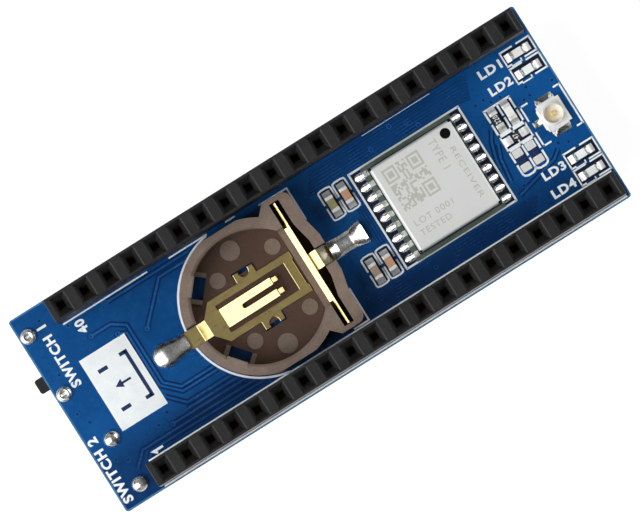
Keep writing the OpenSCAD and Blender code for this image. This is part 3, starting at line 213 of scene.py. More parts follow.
def makeFinish(name, look):
    # two tints over a grain, a roughness range and a fine bump
    material = bpy.data.materials.new(name)
    material.use_nodes = True
    tree = material.node_tree
    link = tree.links.new
    shader = tree.nodes["Principled BSDF"]
    shader.inputs["Metallic"].default_value = look.get("metal", 0.0)
    for socket, value in look.get("sockets", {}).items():
        shader.inputs[socket].default_value = value
    grain = addNode(tree, "ShaderNodeGroup", node_tree=grainGroup)
    grain.inputs["Patch"].default_value = look.get("patch", 0.6)
    grain.inputs["Fine"].default_value = look.get("fine", 9.0)
    grain.inputs["Share"].default_value = look.get("share", 0.4)
    mask, height = grain.outputs["Mask"], grain.outputs["Height"]
    if "streak" in look:
        streak = addNode(tree, "ShaderNodeGroup", node_tree=streakGroup)
        streak.inputs["Along"].default_value, streak.inputs["Across"].default_value = look["streak"]
        mixed = addNode(tree, "ShaderNodeMix", {"Factor": 0.6}, data_type="FLOAT")
        link(mask, mixed.inputs["A"])
        link(streak.outputs["Mask"], mixed.inputs["B"])
        mask, height = mixed.outputs["Result"], streak.outputs["Mask"]
    if "weave" in look:
        weave = addNode(tree, "ShaderNodeGroup", node_tree=weaveGroup)
        weave.inputs["Pitch"].default_value = look["weave"]
        mixed = addNode(tree, "ShaderNodeMix", {"Factor": 0.25}, data_type="FLOAT")
        link(mask, mixed.inputs["A"])
        link(weave.outputs["Mask"], mixed.inputs["B"])
        mask = mixed.outputs["Result"]
    tint = addNode(tree, "ShaderNodeMix", data_type="RGBA")
    tint.inputs["A"].default_value = look["dark"]
    tint.inputs["B"].default_value = look["light"]
    link(mask, tint.inputs["Factor"])
    colour = tint.outputs["Result"]
    for key, group, limits in (("band", bandGroup, ("Low", "High")), ("fade", fadeGroup, ("Start", "Stop"))):
        if key in look:
            part = addNode(tree, "ShaderNodeGroup", node_tree=group)
            for limit, value in zip(limits, look[key]):
                part.inputs[limit].default_value = value
            toned = addNode(tree, "ShaderNodeMix", data_type="RGBA", blend_type="MULTIPLY")
            toned.inputs["B"].default_value = look[key + "Tint"]
            link(part.outputs["Mask"], toned.inputs["Factor"])
            link(colour, toned.inputs["A"])
            colour = toned.outputs["Result"]
    link(colour, shader.inputs["Base Color"])
    low, high = look["rough"]
    rough = addNode(tree, "ShaderNodeMapRange", {"To Min": low, "To Max": high})
    link(mask, rough.inputs["Value"])
    link(rough.outputs["Result"], shader.inputs["Roughness"])
    if look.get("bump"):
        bump = addNode(tree, "ShaderNodeBump", {"Strength": look["bump"], "Distance": look.get("depth", 0.00002)})
        link(height, bump.inputs["Height"])
        link(bump.outputs["Normal"], shader.inputs["Normal"])
    return material


# the mask darkens towards the near long side
sideFade, sideTint = (-3.0, -6.5), (0.36, 0.52, 0.56, 1.0)

ceramicBase = dict(patch=1.2, fine=9.0, rough=(0.38, 0.55), bump=0.1)

finishLooks = {
    "solderMask": dict(
        dark=paint(6, 64, 120), light=paint(10, 84, 150), patch=0.09, fine=1.6, share=0.25, weave=2.2,
        rough=(0.22, 0.34), bump=0.06, sockets={"Specular IOR Level": 0.16}, fade=sideFade,
        fadeTint=sideTint,
    ),
    "maskTrace": dict(
        dark=paint(12, 78, 142), light=paint(22, 94, 164), patch=0.3, fine=3.0, share=0.3, rough=(0.2, 0.32),
        bump=0.05, sockets={"Specular IOR Level": 0.25}, fade=sideFade, fadeTint=(0.4, 0.54, 0.58, 1.0),
    ),
    "maskGap": dict(
        dark=paint(4, 38, 80), light=paint(6, 48, 98), patch=0.3, fine=3.0, share=0.3, rough=(0.25, 0.4), bump=0.05,
        sockets={"Specular IOR Level": 0.12}, fade=sideFade, fadeTint=(0.6, 0.7, 0.74, 1.0),
    ),
    "maskShade": dict(
        dark=paint(5, 50, 100), light=paint(8, 62, 118), patch=0.3, fine=3.0, share=0.3, rough=(0.25, 0.4), bump=0.05,
        sockets={"Specular IOR Level": 0.12}, fade=sideFade, fadeTint=sideTint,
    ),
    "maskFine": dict(
        dark=paint(8, 66, 124), light=paint(12, 80, 144), patch=0.4, fine=4.0, share=0.3, rough=(0.2, 0.32), bump=0.05,
        sockets={"Specular IOR Level": 0.2}, fade=sideFade, fadeTint=sideTint,
    ),
    # painted highlight along the board's cut edge
    "maskEdgeHighlight": dict(
        dark=paint(34, 92, 140), light=paint(64, 126, 170), patch=0.5, fine=6.0, rough=(0.4, 0.55), bump=0.08
    ),
    "padShade": dict(
        dark=paint(14, 20, 36), light=paint(22, 32, 54), patch=0.9, fine=7.0, rough=(0.35, 0.5), bump=0.06,
        sockets={"Specular IOR Level": 0.15},
    ),
    "maskDark": dict(
        dark=paint(24, 42, 78), light=paint(34, 58, 102), patch=0.8, fine=6.0, rough=(0.3, 0.45), bump=0.05,
        sockets={"Specular IOR Level": 0.2},
    ),
    "viaHole": dict(
        dark=paint(4, 24, 54), light=paint(8, 34, 70), patch=1.5, fine=8.0, rough=(0.4, 0.6), bump=0.05,
        sockets={"Specular IOR Level": 0.1},
    ),
    "printWhite": dict(
        dark=paint(226, 233, 236), light=paint(244, 248, 248), patch=0.8, fine=10.0, rough=(0.42, 0.6), bump=0.12
    ),
    "stripPlastic": dict(
        dark=paint(16, 16, 17), light=paint(28, 28, 29), patch=0.7, fine=14.0, share=0.5, rough=(0.4, 0.56),
        bump=0.16, sockets={"Specular IOR Level": 0.35},
    ),
    # the socket contacts darken above the board, inside the strips: painted shade of their deep holes
    "contactMetal": dict(
        dark=paint(196, 168, 100), light=paint(214, 188, 120), patch=1.2, fine=10.0, rough=(0.2, 0.36), metal=1.0,
        bump=0.05, band=(9.7, 30.0), bandTint=(0.06, 0.055, 0.05, 1.0),
    ),
    "tinned": dict(
        dark=paint(214, 214, 212), light=paint(248, 248, 246), patch=1.8, fine=7.0, share=0.5, rough=(0.36, 0.56),
        metal=0.6, bump=0.3, depth=0.00004,
    ),
    "solder": dict(
        dark=paint(212, 213, 212), light=paint(244, 244, 242), patch=1.4, fine=5.0, share=0.5, rough=(0.18, 0.34),
        metal=1.0, bump=0.22, depth=0.00004,
    ),
    "dullSolder": dict(
        dark=paint(222, 222, 220), light=paint(252, 252, 250), patch=2.2, fine=6.0, share=0.5, rough=(0.16, 0.34),
        metal=0.8, bump=0.4, depth=0.00006,
    ),
    "capMetal": dict(
        dark=paint(96, 100, 92), light=paint(250, 250, 244), patch=3.4, fine=8.0, share=0.35, rough=(0.26, 0.5),
        metal=0.55, bump=0.5, depth=0.00006,
    ),
    "holderPlastic": dict(
        dark=paint(106, 90, 80), light=paint(129, 113, 102), patch=0.5, fine=7.0, share=0.5, rough=(0.46, 0.62),
        bump=0.14, sockets={"Specular IOR Level": 0.3}, band=(10.2, 10.43), bandTint=(0.42, 0.3, 0.23, 1.0),
    ),
    "springBrass": dict(
        dark=paint(172, 150, 84), light=paint(204, 182, 118), patch=0.5, fine=4.0, rough=(0.24, 0.36), metal=1.0,
        streak=(0.5, 9.0), bump=0.05, sockets={"Coat Weight": 1.0, "Coat Roughness": 0.22, "Coat IOR": 1.7},
    ),
    "carrierGreen": dict(
        dark=paint(54, 70, 60), light=paint(86, 100, 90), patch=0.8, fine=7.0, rough=(0.32, 0.48), bump=0.08
    ),
    "shieldMetal": dict(
        dark=paint(208, 210, 209), light=paint(220, 221, 219), patch=0.35, fine=9.0, rough=(0.44, 0.56), metal=0.35,
        streak=(0.4, 16.0), bump=0.05,
    ),
    "shieldMark": dict(
        dark=paint(174, 174, 165), light=paint(188, 188, 180), patch=1.6, fine=9.0, rough=(0.5, 0.66), metal=0.2,
        bump=0.08,
    ),
    "dotBlack": dict(
        dark=paint(4, 4, 5), light=paint(11, 11, 12), patch=1.6, fine=9.0, rough=(0.6, 0.75), bump=0.08,
        sockets={"Specular IOR Level": 0.08},
    ),
    "chipBlack": dict(
        dark=paint(24, 24, 25), light=paint(40, 40, 41), patch=1.2, fine=10.0, rough=(0.36, 0.55), bump=0.12
    ),
    "ceramicTan": dict(dark=paint(190, 140, 105), light=paint(216, 170, 136), **ceramicBase),
    "ceramicOlive": dict(dark=paint(144, 140, 96), light=paint(168, 164, 120), **ceramicBase),
    "ceramicGrey": dict(dark=paint(150, 130, 113), light=paint(176, 158, 141), **ceramicBase),
    "ceramicWhite": dict(
        dark=paint(226, 227, 223), light=paint(242, 242, 239), patch=1.2, fine=9.0, rough=(0.34, 0.5), bump=0.08
    ),
    "insulator": dict(
        dark=paint(250, 238, 216), light=paint(255, 248, 234), patch=1.0, fine=8.0, rough=(0.4, 0.55), bump=0.08
    ),
    "platedMetal": dict(
        dark=paint(226, 227, 225), light=paint(244, 244, 241), patch=0.8, fine=6.0, rough=(0.3, 0.46), metal=0.3,
        bump=0.1,
    ),
    "goldPlate": dict(
        dark=paint(238, 204, 122), light=paint(252, 230, 168), patch=1.2, fine=8.0, rough=(0.36, 0.5), metal=0.7,
        bump=0.06,
    ),
    "lens": dict(
        dark=paint(248, 251, 248), light=paint(254, 255, 254), patch=1.2, fine=6.0, rough=(0.16, 0.3), bump=0.06,
        sockets={"Coat Weight": 0.4, "Subsurface Weight": 0.2, "Subsurface Scale": 0.0003},
    ),
}
finishes = {name: makeFinish(name, look) for name, look in finishLooks.items()}

slotFinish = {
    "solder_mask": "solderMask", "strip_plastic": "stripPlastic", "contact_metal": "contactMetal", "solder": "solder",
    "holder_plastic": "holderPlastic", "spring_brass": "springBrass", "carrier_green": "carrierGreen",
    "shield_metal": "shieldMetal", "chip_black": "chipBlack", "ceramic_tan": "ceramicTan",
    "ceramic_olive": "ceramicOlive", "ceramic_grey": "ceramicGrey", "ceramic_white": "ceramicWhite",
    "insulator": "insulator", "plated_metal": "platedMetal", "gold_plate": "goldPlate", "lens": "lens",
}
ownFinish = {
    "capacitor_ends": "tinned", "resistor_ends": "tinned", "series_ends": "tinned", "chip_solder": "tinned",
    "spare_pads": "platedMetal",
}
for subpart in frame["record"]["subparts"]:
    node = nodes[subpart["node"]]
    node.data.materials.clear()
    node.data.materials.append(finishes[ownFinish.get(node.name, slotFinish[subpart["material_slot"]])])
print("finishes set:", len(finishes))


# mesh helpers, in millimetres until a piece is finished

def finishPiece(name, bm, finish, body="board", smooth=None, replaced=()):
    bmesh.ops.remove_doubles(bm, verts=bm.verts, dist=0.0002)
    bmesh.ops.recalc_face_normals(bm, faces=bm.faces)
    bmesh.ops.scale(bm, vec=(mm, mm, mm), verts=bm.verts)
    mesh = bpy.data.meshes.new(name)
    bm.to_mesh(mesh)
    bm.free()
    piece = bpy.data.objects.new(name, mesh)
    scene.collection.objects.link(piece)
    mesh.materials.append(finishes[finish])
    if smooth:
        for face in mesh.polygons:
            face.use_smooth = True
        mesh.set_sharp_from_angle(angle=math.radians(smooth))
    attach(piece, body)
    if replaced:
        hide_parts(*replaced)
    return piece


def joinInto(bm, part):
    carrier = bpy.data.meshes.new("carrier")
    part.to_mesh(carrier)
    part.free()
    bm.from_mesh(carrier)
    bpy.data.meshes.remove(carrier)


def addBar(bm, start, stop, width, low, high):
    start, stop = Vector(start), Vector(stop)
    run = stop - start
    middle = (start + stop) / 2
    place = (
        Matrix.Translation((middle.x, middle.y, (low + high) / 2))
        @ Matrix.Rotation(math.atan2(run.y, run.x), 4, "Z")
        @ Matrix.Diagonal((run.length, width, high - low, 1))
    )
    bmesh.ops.create_cube(bm, size=1, matrix=place)


def addDisc(bm, centre, radius, low, high, segments=20):
    bmesh.ops.create_cone(
        bm, cap_ends=True, segments=segments, radius1=radius, radius2=radius, depth=high - low,
        matrix=Matrix.Translation((centre[0], centre[1], (low + high) / 2)),
    )


def addPath(bm, points, width, low, high):
    # flat ribbon with mitred corners
    part = bmesh.new()
    spots = [Vector(point) for point in points]
    runs = [(b - a).normalized() for a, b in zip(spots, spots[1:])]
    rails = []
    for i, spot in enumerate(spots):
        before, after = runs[max(i - 1, 0)], runs[min(i, len(runs) - 1)]
        along = (before + after).normalized()
        reach = width / 2 / max(along.dot(after), 0.3)
        side = Vector((-along.y, along.x)) * reach
        rails.append([part.verts.new((*(spot + turn * side), low)) for turn in (1, -1)])
    for (a, b), (c, d) in zip(rails, rails[1:]):
        part.faces.new((a, b, d, c))
    raised = bmesh.ops.extrude_face_region(part, geom=part.faces[:])["geom"]
    bmesh.ops.translate(part, vec=(0, 0, high - low), verts=[v for v in raised if isinstance(v, bmesh.types.BMVert)])
    joinInto(bm, part)


def addArc(bm, centre, radius, width, start, stop, low, high, steps=32):
    part = bmesh.new()
    place = Matrix.Translation((centre[0], centre[1], 0)) @ Matrix.Rotation(math.radians(start), 4, "Z")
    corners = [
        part.verts.new(place @ Vector((radius + side * width / 2, 0, level)))
        for side, level in ((-1, low), (1, low), (1, high), (-1, high))
    ]
    section = part.faces.new(corners)
    bmesh.ops.spin(
        part, geom=[section], cent=(centre[0], centre[1], 0), axis=(0, 0, 1),
        angle=math.radians(stop - start), steps=steps,
    )
    joinInto(bm, part)


def addOutline(bm, low2, high2, corner, width, low, high):
    # rounded frame of even width
    part = bmesh.new()
    centre = ((low2[0] + high2[0]) / 2, (low2[1] + high2[1]) / 2, low)
    place = Matrix.Translation(centre) @ Matrix.Diagonal((high2[0] - low2[0], high2[1] - low2[1], 1, 1))
    bmesh.ops.create_grid(part, x_segments=1, y_segments=1, size=0.5, matrix=place)
    bmesh.ops.bevel(
        part, geom=part.verts[:], offset=corner, offset_type="OFFSET", affect="VERTICES", segments=5, profile=0.5,
        material=-1,
    )
    inner = part.faces[:]
    bmesh.ops.inset_region(part, faces=inner, thickness=width, use_even_offset=True, use_boundary=True)
    bmesh.ops.delete(part, geom=inner, context="FACES")
    raised = bmesh.ops.extrude_face_region(part, geom=part.faces[:])["geom"]
    bmesh.ops.translate(part, vec=(0, 0, high - low), verts=[v for v in raised if isinstance(v, bmesh.types.BMVert)])
    joinInto(bm, part)


def addWords(bm, words, centre, size, turn, low, high, weight=0.0):
    # plain letters stretched to a length and a height
    lettering = bpy.data.curves.new("lettering", "FONT")
    lettering.body = words
    lettering.resolution_u = 3
    lettering.offset = weight
    lettering.space_character = 1.14
    lettering.extrude = 0.1
    carrier = bpy.data.objects.new("lettering", lettering)
    scene.collection.objects.link(carrier)
    bpy.context.view_layer.update()
    mesh = bpy.data.meshes.new_from_object(carrier.evaluated_get(bpy.context.evaluated_depsgraph_get()))
    xs = [v.co.x for v in mesh.vertices]
    ys = [v.co.y for v in mesh.vertices]
    middle = Matrix.Translation((-(min(xs) + max(xs)) / 2, -(min(ys) + max(ys)) / 2, 0))
    fit = Matrix.Diagonal((size[0] / (max(xs) - min(xs)), size[1] / (max(ys) - min(ys)), (high - low) / 0.2, 1))
    place = Matrix.Translation((centre[0], centre[1], (low + high) / 2)) @ Matrix.Rotation(math.radians(turn), 4, "Z")
    mesh.transform(place @ fit @ middle)
    bm.from_mesh(mesh)
    bpy.data.meshes.remove(mesh)
    bpy.data.objects.remove(carrier)
    bpy.data.curves.remove(lettering)


boardZ = boardTop / mm
shieldZ = shieldTop / mm

# white print
printSizes = dict(
    thick=0.02, line=0.17, fineLine=0.15, midLine=0.2, boldLine=0.36, thinLine=0.13, wordWeight=0.04, windowRise=0.006,
    chipHalf=0.66, chipWaist=0.16, chipEnd=1.54,
)
capacitorSpots = ((4.15, 3.74), (5.7, 3.74), (4.25, -3.62), (5.8, -3.62))
ledRows = ((5.79, 7.25), (3.93, 5.49), (-5.39, -3.83), (-7.2, -5.64))
printLow, printHigh = boardZ, boardZ + printSizes["thick"]


def makePrintLines():
    bm = bmesh.new()
    line, fine, middle, bold, thin = (
        printSizes[key] for key in ("line", "fineLine", "midLine", "boldLine", "thinLine")
    )
    chip = printSizes["chipHalf"]

    def bar(x0, y0, x1, y1, width=line):
        addBar(bm, (x0, y0), (x1, y1), width, printLow, printHigh)

    # along the socket strips
    bar(-22.88, -7.43, 27.66, -7.43, fine)
    bar(-22.88, -10.19, 27.66, -10.19, fine)
    bar(-22.88, 7.5, -13.7, 7.5, fine)
    bar(-11.36, 7.5, -7.2, 7.5, fine)
    bar(-5.15, 7.54, -4.1, 7.54, fine)
    bar(9.8, 7.58, 17.2, 7.58, 0.06)
    # round the coin-cell holder
    addArc(bm, (-6.17, 0.02), 7.49, middle, 99, 261, printLow, printHigh, 56)
    bar(1.33, 3.75, 1.33, 7.28)
    bar(1.33, -3.75, 1.33, -7.28)
    bar(-1.74, 7.2, 1.25, 7.2)
    bar(-0.3, -7.2, 1.25, -7.2)
    # round the receiver module
    addOutline(bm, (6.73, -5.18), (18.88, 5.26), 0.05, middle, printLow, printHigh)
    # round the capacitors, open at the waist
    for x, y in capacitorSpots:
        for side in (-1, 1):
            ends = (y + side * printSizes["chipWaist"], y + side * printSizes["chipEnd"])
            bar(x - chip, ends[0], x - chip, ends[1] - side * 0.2)
            bar(x + chip, ends[0], x + chip, ends[1] - side * 0.2)
            addPath(
                bm,
                [
                    (x - chip, ends[1] - side * 0.22), (x - 0.6, ends[1] - side * 0.08), (x - 0.3, ends[1]),
                    (x + 0.3, ends[1]), (x + 0.6, ends[1] - side * 0.08), (x + chip, ends[1] - side * 0.22),
                ],
                line, printLow, printHigh,
            )
    # round the matching parts
    columns = (20.56, 21.92, 23.27)
    for x in columns:
        bar(x, 2.22, x, 3.44, middle)
        bar(x, 0.6, x, 2.02, middle)
        bar(x, -0.66, x, 0.5, 0.16)
        bar(x, -2.14, x, -0.86, middle)
        bar(x, -3.4, x, -2.38, middle)
    bar(20.46, 3.44, 23.37, 3.44, middle)
    bar(20.46, 0.72, 23.37, 0.72, bold)
    bar(20.46, -0.86, 23.37, -0.86, bold)
    for left, right in zip(columns, columns[1:]):
        addPath(
            bm,
            [(left, -3.38), (left + 0.12, -3.6), (left + 0.4, -3.72), (right - 0.4, -3.72), (right - 0.12, -3.6),
             (right, -3.38)],
            middle, printLow, printHigh,
        )
    # round the indicators
    for low, high in ledRows:
        bar(24.66, low, 24.66, high, fine)
        bar(27.8, low, 27.8, high, fine)
        bar(24.58, high, 26.0, high, line)
        bar(26.42, high, 27.88, high, line)
        bar(24.58, low, 25.15, low, line)
        bar(26.5, low, 27.88, low, line)
        bar(25.05, low - 0.14, 26.15, low - 0.14, thin)
        bar(26.12, low - 0.22, 26.12, low + 0.14, thin)
    # brackets round the antenna socket
    bar(23.63, 0.46, 23.63, 2.1)
    bar(23.63, -0.7, 23.63, -2.25)
    bar(23.55, 2.0, 24.43, 2.0)
    bar(23.55, -2.17, 24.43, -2.17)
    bar(27.84, 2.08, 27.84, -2.3)
    bar(27.2, 2.0, 27.84, 2.0)
    bar(27.2, -2.21, 27.84, -2.21)
    return finishPiece("print_lines", bm, "printWhite")


def makePrintBlock():
    bm = bmesh.new()
    addBar(bm, (-23.48, 0), (-18.55, 0), 7.65, printLow, printHigh)
    return finishPiece("print_block", bm, "printWhite")


def makePrintWindows():
    # unprinted marks in the white block, where the mask shows
    bm = bmesh.new()
    low, high = printHigh, printHigh + printSizes["windowRise"]
    for y in (2.0, -2.11):
        addBar(bm, (-22.48, y), (-21.5, y), 0.38, low, high)
    addBar(bm, (-19.33, -2.52), (-19.33, 2.52), 0.35, low, high)
    for y in (2.34, -2.34):
        addBar(bm, (-20.0, y), (-19.33, y), 0.36, low, high)
    addBar(bm, (-20.2, 0), (-21.2, 0), 0.22, low, high)
    arrow = bmesh.new()
    bmesh.ops.create_cone(
        arrow, cap_ends=True, segments=3, radius1=0.5, radius2=0.5, depth=high - low,
        matrix=Matrix.Translation((-21.35, 0, (low + high) / 2)) @ Matrix.Rotation(math.radians(90), 4, "Z"),
    )
    joinInto(bm, arrow)
    return finishPiece("print_windows", bm, "maskDark")


def makePrintWords():
    bm = bmesh.new()
    weight = printSizes["wordWeight"]
    words = [
        ("SWITCH 1", (-24.77, 5.18), (6.5, 1.0), 90), ("SWITCH 2", (-26.38, -6.27), (6.9, 1.0), 90),
        ("40", (-21.55, 6.45), (1.38, 1.0), 90),
        ("LD1", (23.12, 6.47), (2.4, 0.88), 0), ("LD2", (23.16, 4.66), (2.4, 0.88), 0),
        ("LD3", (23.18, -4.62), (2.4, 0.88), 0), ("LD4", (23.1, -6.48), (2.5, 0.9), 0),
    ]
    for text, centre, size, turn in words:
        addWords(bm, text, centre, size, turn, printLow, printHigh, weight)
    addPath(bm, [(-21.02, -6.94), (-22.06, -6.94), (-21.74, -7.24)], 0.22, printLow, printHigh)
    return finishPiece("print_words", bm, "printWhite")


makePrintLines()
makePrintBlock()
makePrintWindows()
makePrintWords()
print("print done")

# copper under the mask
traceSizes = dict(thick=0.018, width=0.2, gap=0.56, step=0.3, shadeRise=0.003, shadeStep=0.0002)


def makeTraces():
    # each track lies in a darker clearance, raised a little more with each track so that none share a level
    tracks, gaps, fine, shade = bmesh.new(), bmesh.new(), bmesh.new(), bmesh.new()
    width, gap, step = traceSizes["width"], traceSizes["gap"], traceSizes["step"]
    top = boardZ + traceSizes["thick"]

    def shadeTop(i):
        return boardZ + traceSizes["shadeRise"] + traceSizes["shadeStep"] * i

    paths = [
        [(-21.27, 5.2), (-19.16, 5.2), (-17.92, 4.34), (-17.92, -1.95), (-16.64, -3.2), (-13.2, -3.2)],
        [(-19.06, 4.05), (-18.3, 3.7), (-18.3, -2.05), (-16.74, -3.62), (-12.9, -3.62)],
        [(-18.4, -3.2), (-16.94, -4.74), (-12.4, -4.74)],
        [(-17.3, -5.22), (-11.9, -5.22)],
        [(-19.16, -5.7), (-11.2, -5.7)],
        [(-24.1, -7.48), (-22.8, -6.26), (-10.6, -6.26)],
        [(-22.6, -7.2), (-22.1, -6.75), (-9.8, -6.75)],
        [(-16.5, 3.04), (-13.07, 6.5), (-10.2, 6.5)],
        [(-18.3, 7.1), (-9.5, 7.1)],
        [(18.9, -3.2), (19.2, -0.9), (19.7, 0.7), (20.3, 1.7)],
        [(19.3, -3.4), (19.6, -1.1), (20.1, 0.2)],
        [(24.6, -3.1), (23.8, -3.7), (19.3, -4.9)],
    ]
    for i, points in enumerate(paths):
        addPath(gaps, points, gap, boardZ, shadeTop(i))
        addPath(tracks, points, width, boardZ, top)
    bundles = [[(5.9 + step * i, 2.0), (5.9 + step * i, -1.9)] for i in range(3)]
    for i in range(7):
        y = 5.48 + step * i
        bundles.append([(2.6 + 0.2 * i, y), (18.9 + 0.25 * i, y), (20.2 + 0.1 * i, y - 0.3)])
    for i in range(6):
        y = -5.62 - step * i
        bundles.append([(2.8 + 0.2 * i, y), (19.6 - 0.2 * i, y), (20.6 - 0.2 * i, y - 0.2)])
    for i, points in enumerate(bundles):
        addPath(shade, points, step * 1.02, boardZ, shadeTop(i))
        addPath(fine, points, width * 0.6, boardZ, top)
    finishPiece("bundle_shades", shade, "maskShade")
    finishPiece("bundle_tracks", fine, "maskFine")
    finishPiece("track_gaps", gaps, "maskGap")
    return finishPiece("copper_tracks", tracks, "maskTrace")


wideVias = [
    (-21.27, 5.2), (-19.06, 4.05), (-16.5, 3.04), (-19.16, -5.7), (9.85, 6.06), (12.4, 7.0), (13.9, 6.4), (14.8, 5.7),
]
smallVias = [
    (-24.59, 8.96), (-22.58, 7.15), (-25.7, 3.72), (-26.2, -0.25), (-25.6, -1.51), (-25.4, -5.74), (-24.49, -6.34),
    (-20.36, -5.13), (-19.05, -4.5), (20.2, 4.35), (21.1, 4.4), (25.1, 3.32), (25.0, 2.5), (27.5, 2.6), (24.9, -2.66),
    (25.75, -3.05), (20.1, -4.3), (2.2, -5.4), (9.2, -6.4), (21.6, 3.85), (22.6, 3.8), (24.3, 2.42), (26.2, -2.2),
]
viaSizes = dict(
    clear=0.36, clearRise=0.012, ring=0.2, ringWidth=0.13, ringRise=0.026, hole=0.12, holeRise=0.016,
    small=0.17, smallWidth=0.1, smallRise=0.02, smallHoleRise=0.014,
)


def makeVias():
    clears, rims, holes = bmesh.new(), bmesh.new(), bmesh.new()
    size = viaSizes
    for spot in wideVias:
        addDisc(clears, spot, size["clear"], boardZ, boardZ + size["clearRise"], 20)
        addArc(rims, spot, size["ring"], size["ringWidth"], 0, 360, boardZ, boardZ + size["ringRise"], 16)
        addDisc(holes, spot, size["hole"], boardZ, boardZ + size["holeRise"], 14)
    for spot in smallVias:
        addArc(rims, spot, size["small"], size["smallWidth"], 0, 360, boardZ, boardZ + size["smallRise"], 16)
        addDisc(holes, spot, size["hole"], boardZ, boardZ + size["smallHoleRise"], 14)
    finishPiece("via_clears", clears, "maskGap")
    finishPiece("via_rims", rims, "maskTrace")
    return finishPiece("via_holes", holes, "viaHole")


shadeSizes = dict(rise=0.014, disc=0.44, discRise=0.03)


def makePadShades():
    # dark board round the small chips and beside the receiver module: partly bare board, partly painted shade cast by
    # the parts
    bm = bmesh.new()
    low, high = boardZ, boardZ + shadeSizes["rise"]
    for x, y in capacitorSpots:
        addBar(bm, (x, y - 1.36), (x, y + 1.36), 1.0, low, high)
    for x in (7.45, 18.25):
        addBar(bm, (x, -4.98), (x, 4.98), 0.98, low, high)
    for x in (21.24, 22.6):
        addBar(bm, (x, 0.94), (x, 3.3), 1.06, low, high)
        addBar(bm, (x, -3.3), (x, -1.06), 0.96, low, high)
    addBar(bm, (20.7, -0.08), (23.14, -0.08), 1.1, low, high)
    for low2, high2 in ledRows:
        addBar(bm, (24.76, (low2 + high2) / 2), (27.7, (low2 + high2) / 2), high2 - low2 - 0.24, low, high)
    discs = bmesh.new()
    for x in (21.195, 22.575):
        addDisc(discs, (x, -2.2), shadeSizes["disc"], boardZ, boardZ + shadeSizes["discRise"], 24)
    finishPiece("pad_discs", discs, "maskDark")
    return finishPiece("pad_shades", bm, "padShade")


edgeHighlightSizes = dict(width=0.17, corner=0.3, rise=0.004)


def makeBoardEdgeHighlight():
    # painted highlight: a lighter margin round the cut edge, where the board's edge catches the light
    bm = bmesh.new()
    low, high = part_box("circuit_board")
    addOutline(
        bm, (low.x / mm, low.y / mm), (high.x / mm, high.y / mm), edgeHighlightSizes["corner"], edgeHighlightSizes["width"], boardZ,
        boardZ + edgeHighlightSizes["rise"],
    )
    return finishPiece("board_edge_highlight", bm, "maskEdgeHighlight")


makeTraces()
makeVias()
makePadShades()
makeBoardEdgeHighlight()
print("copper done")

# marks on the receiver's shield
markSizes = dict(thick=0.008, dot=0.5, cells=21, seed=7, corner=0.1, cornerInset=0.13, cornerDepth=0.3, footShadowReach=0.12)


def makeShieldCode():
    # seeded square pattern with three corner targets
    bm = bmesh.new()
    low, high = shieldZ, shieldZ + markSizes["thick"]
    count = markSizes["cells"]
    chance = random.Random(markSizes["seed"])
    left, right, bottom, top = 9.52, 13.42, -0.6, 3.77
    wide, tall = (right - left) / count, (top - bottom) / count

    def cellBar(column, row, columns=1, rows=1):
        x0, y0 = left + column * wide, bottom + row * tall
        addBar(
            bm, (x0, y0 + rows * tall / 2), (x0 + columns * wide, y0 + rows * tall / 2), rows * tall, low, high
        )

    targets = ((0, count - 7), (count - 7, count - 7), (count - 7, 0))
    for column, row in targets:
        cellBar(column, row, 7, 1)
        cellBar(column, row + 6, 7, 1)
        cellBar(column, row + 1, 1, 5)
        cellBar(column + 6, row + 1, 1, 5)
        cellBar(column + 2, row + 2, 3, 3)
    for column in range(count):
        for row in range(count):
            near = any(-1 <= column - a <= 7 and -1 <= row - b <= 7 for a, b in targets)
            if not near and chance.random() < 0.5:
                cellBar(column, row)
    return finishPiece("shield_code", bm, "shieldMark")


def makeShieldWords():
    bm = bmesh.new()
    low, high = shieldZ, shieldZ + markSizes["thick"]
    addWords(bm, "TYPE 1", (14.99, 2.31), (3.0, 0.78), -90, low, high)
    addWords(bm, "RECEIVER", (16.32, -0.5), (5.4, 0.5), -90, low, high)
    addWords(bm, "LOT 0001", (11.7, -2.0), (4.1, 0.6), 0, low, high)
    addWords(bm, "TESTED", (11.3, -3.06), (3.3, 0.6), 0, low, high)
    return finishPiece("shield_words", bm, "shieldMark")


def makeShieldDot():
    bm = bmesh.new()
    addDisc(bm, (16.45, 3.62), markSizes["dot"], shieldZ, shieldZ + markSizes["thick"], 40)
    return finishPiece("shield_dot", bm, "dotBlack")


def makeShieldCorners():
    # reliefs at the folded corners, and a painted shadow in the dark gap round the foot of the shield
    corners, foot = bmesh.new(), bmesh.new()
    low, high = (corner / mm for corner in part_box("receiver_shield"))
    inset, thick, carrierZ = markSizes["cornerInset"], markSizes["thick"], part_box("receiver_board")[1].z / mm
    for x in (low.x + inset, high.x - inset):
        for y in (low.y + inset, high.y - inset):
            addDisc(corners, (x, y), markSizes["corner"], shieldZ - markSizes["cornerDepth"], shieldZ + thick, 14)
    reach = markSizes["footShadowReach"]
    # painted shadow on the carrier round the shield's foot
    addOutline(
        foot, (low.x - reach, low.y - reach), (high.x + reach, high.y + reach), 0.1, reach, carrierZ, carrierZ + thick
    )
    finishPiece("shield_foot_shadow", foot, "padShade")
    return finishPiece("shield_corners", corners, "dotBlack")


makeShieldCode()
makeShieldWords()
makeShieldDot()
makeShieldCorners()
print("shield marks done")


# solder joints that stand for the plain CAD ones
jointSizes = dict(legRise=0.42, leadRise=0.72)


def endSpots(node):
    # the two round joints of a node, at the ends of its box, with their radius
    low, high = (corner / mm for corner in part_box(node))
    radius = (high.x - low.x) / 2
    middle = (low.x + high.x) / 2
    return [(middle, low.y + radius), (middle, high.y - radius)], radius


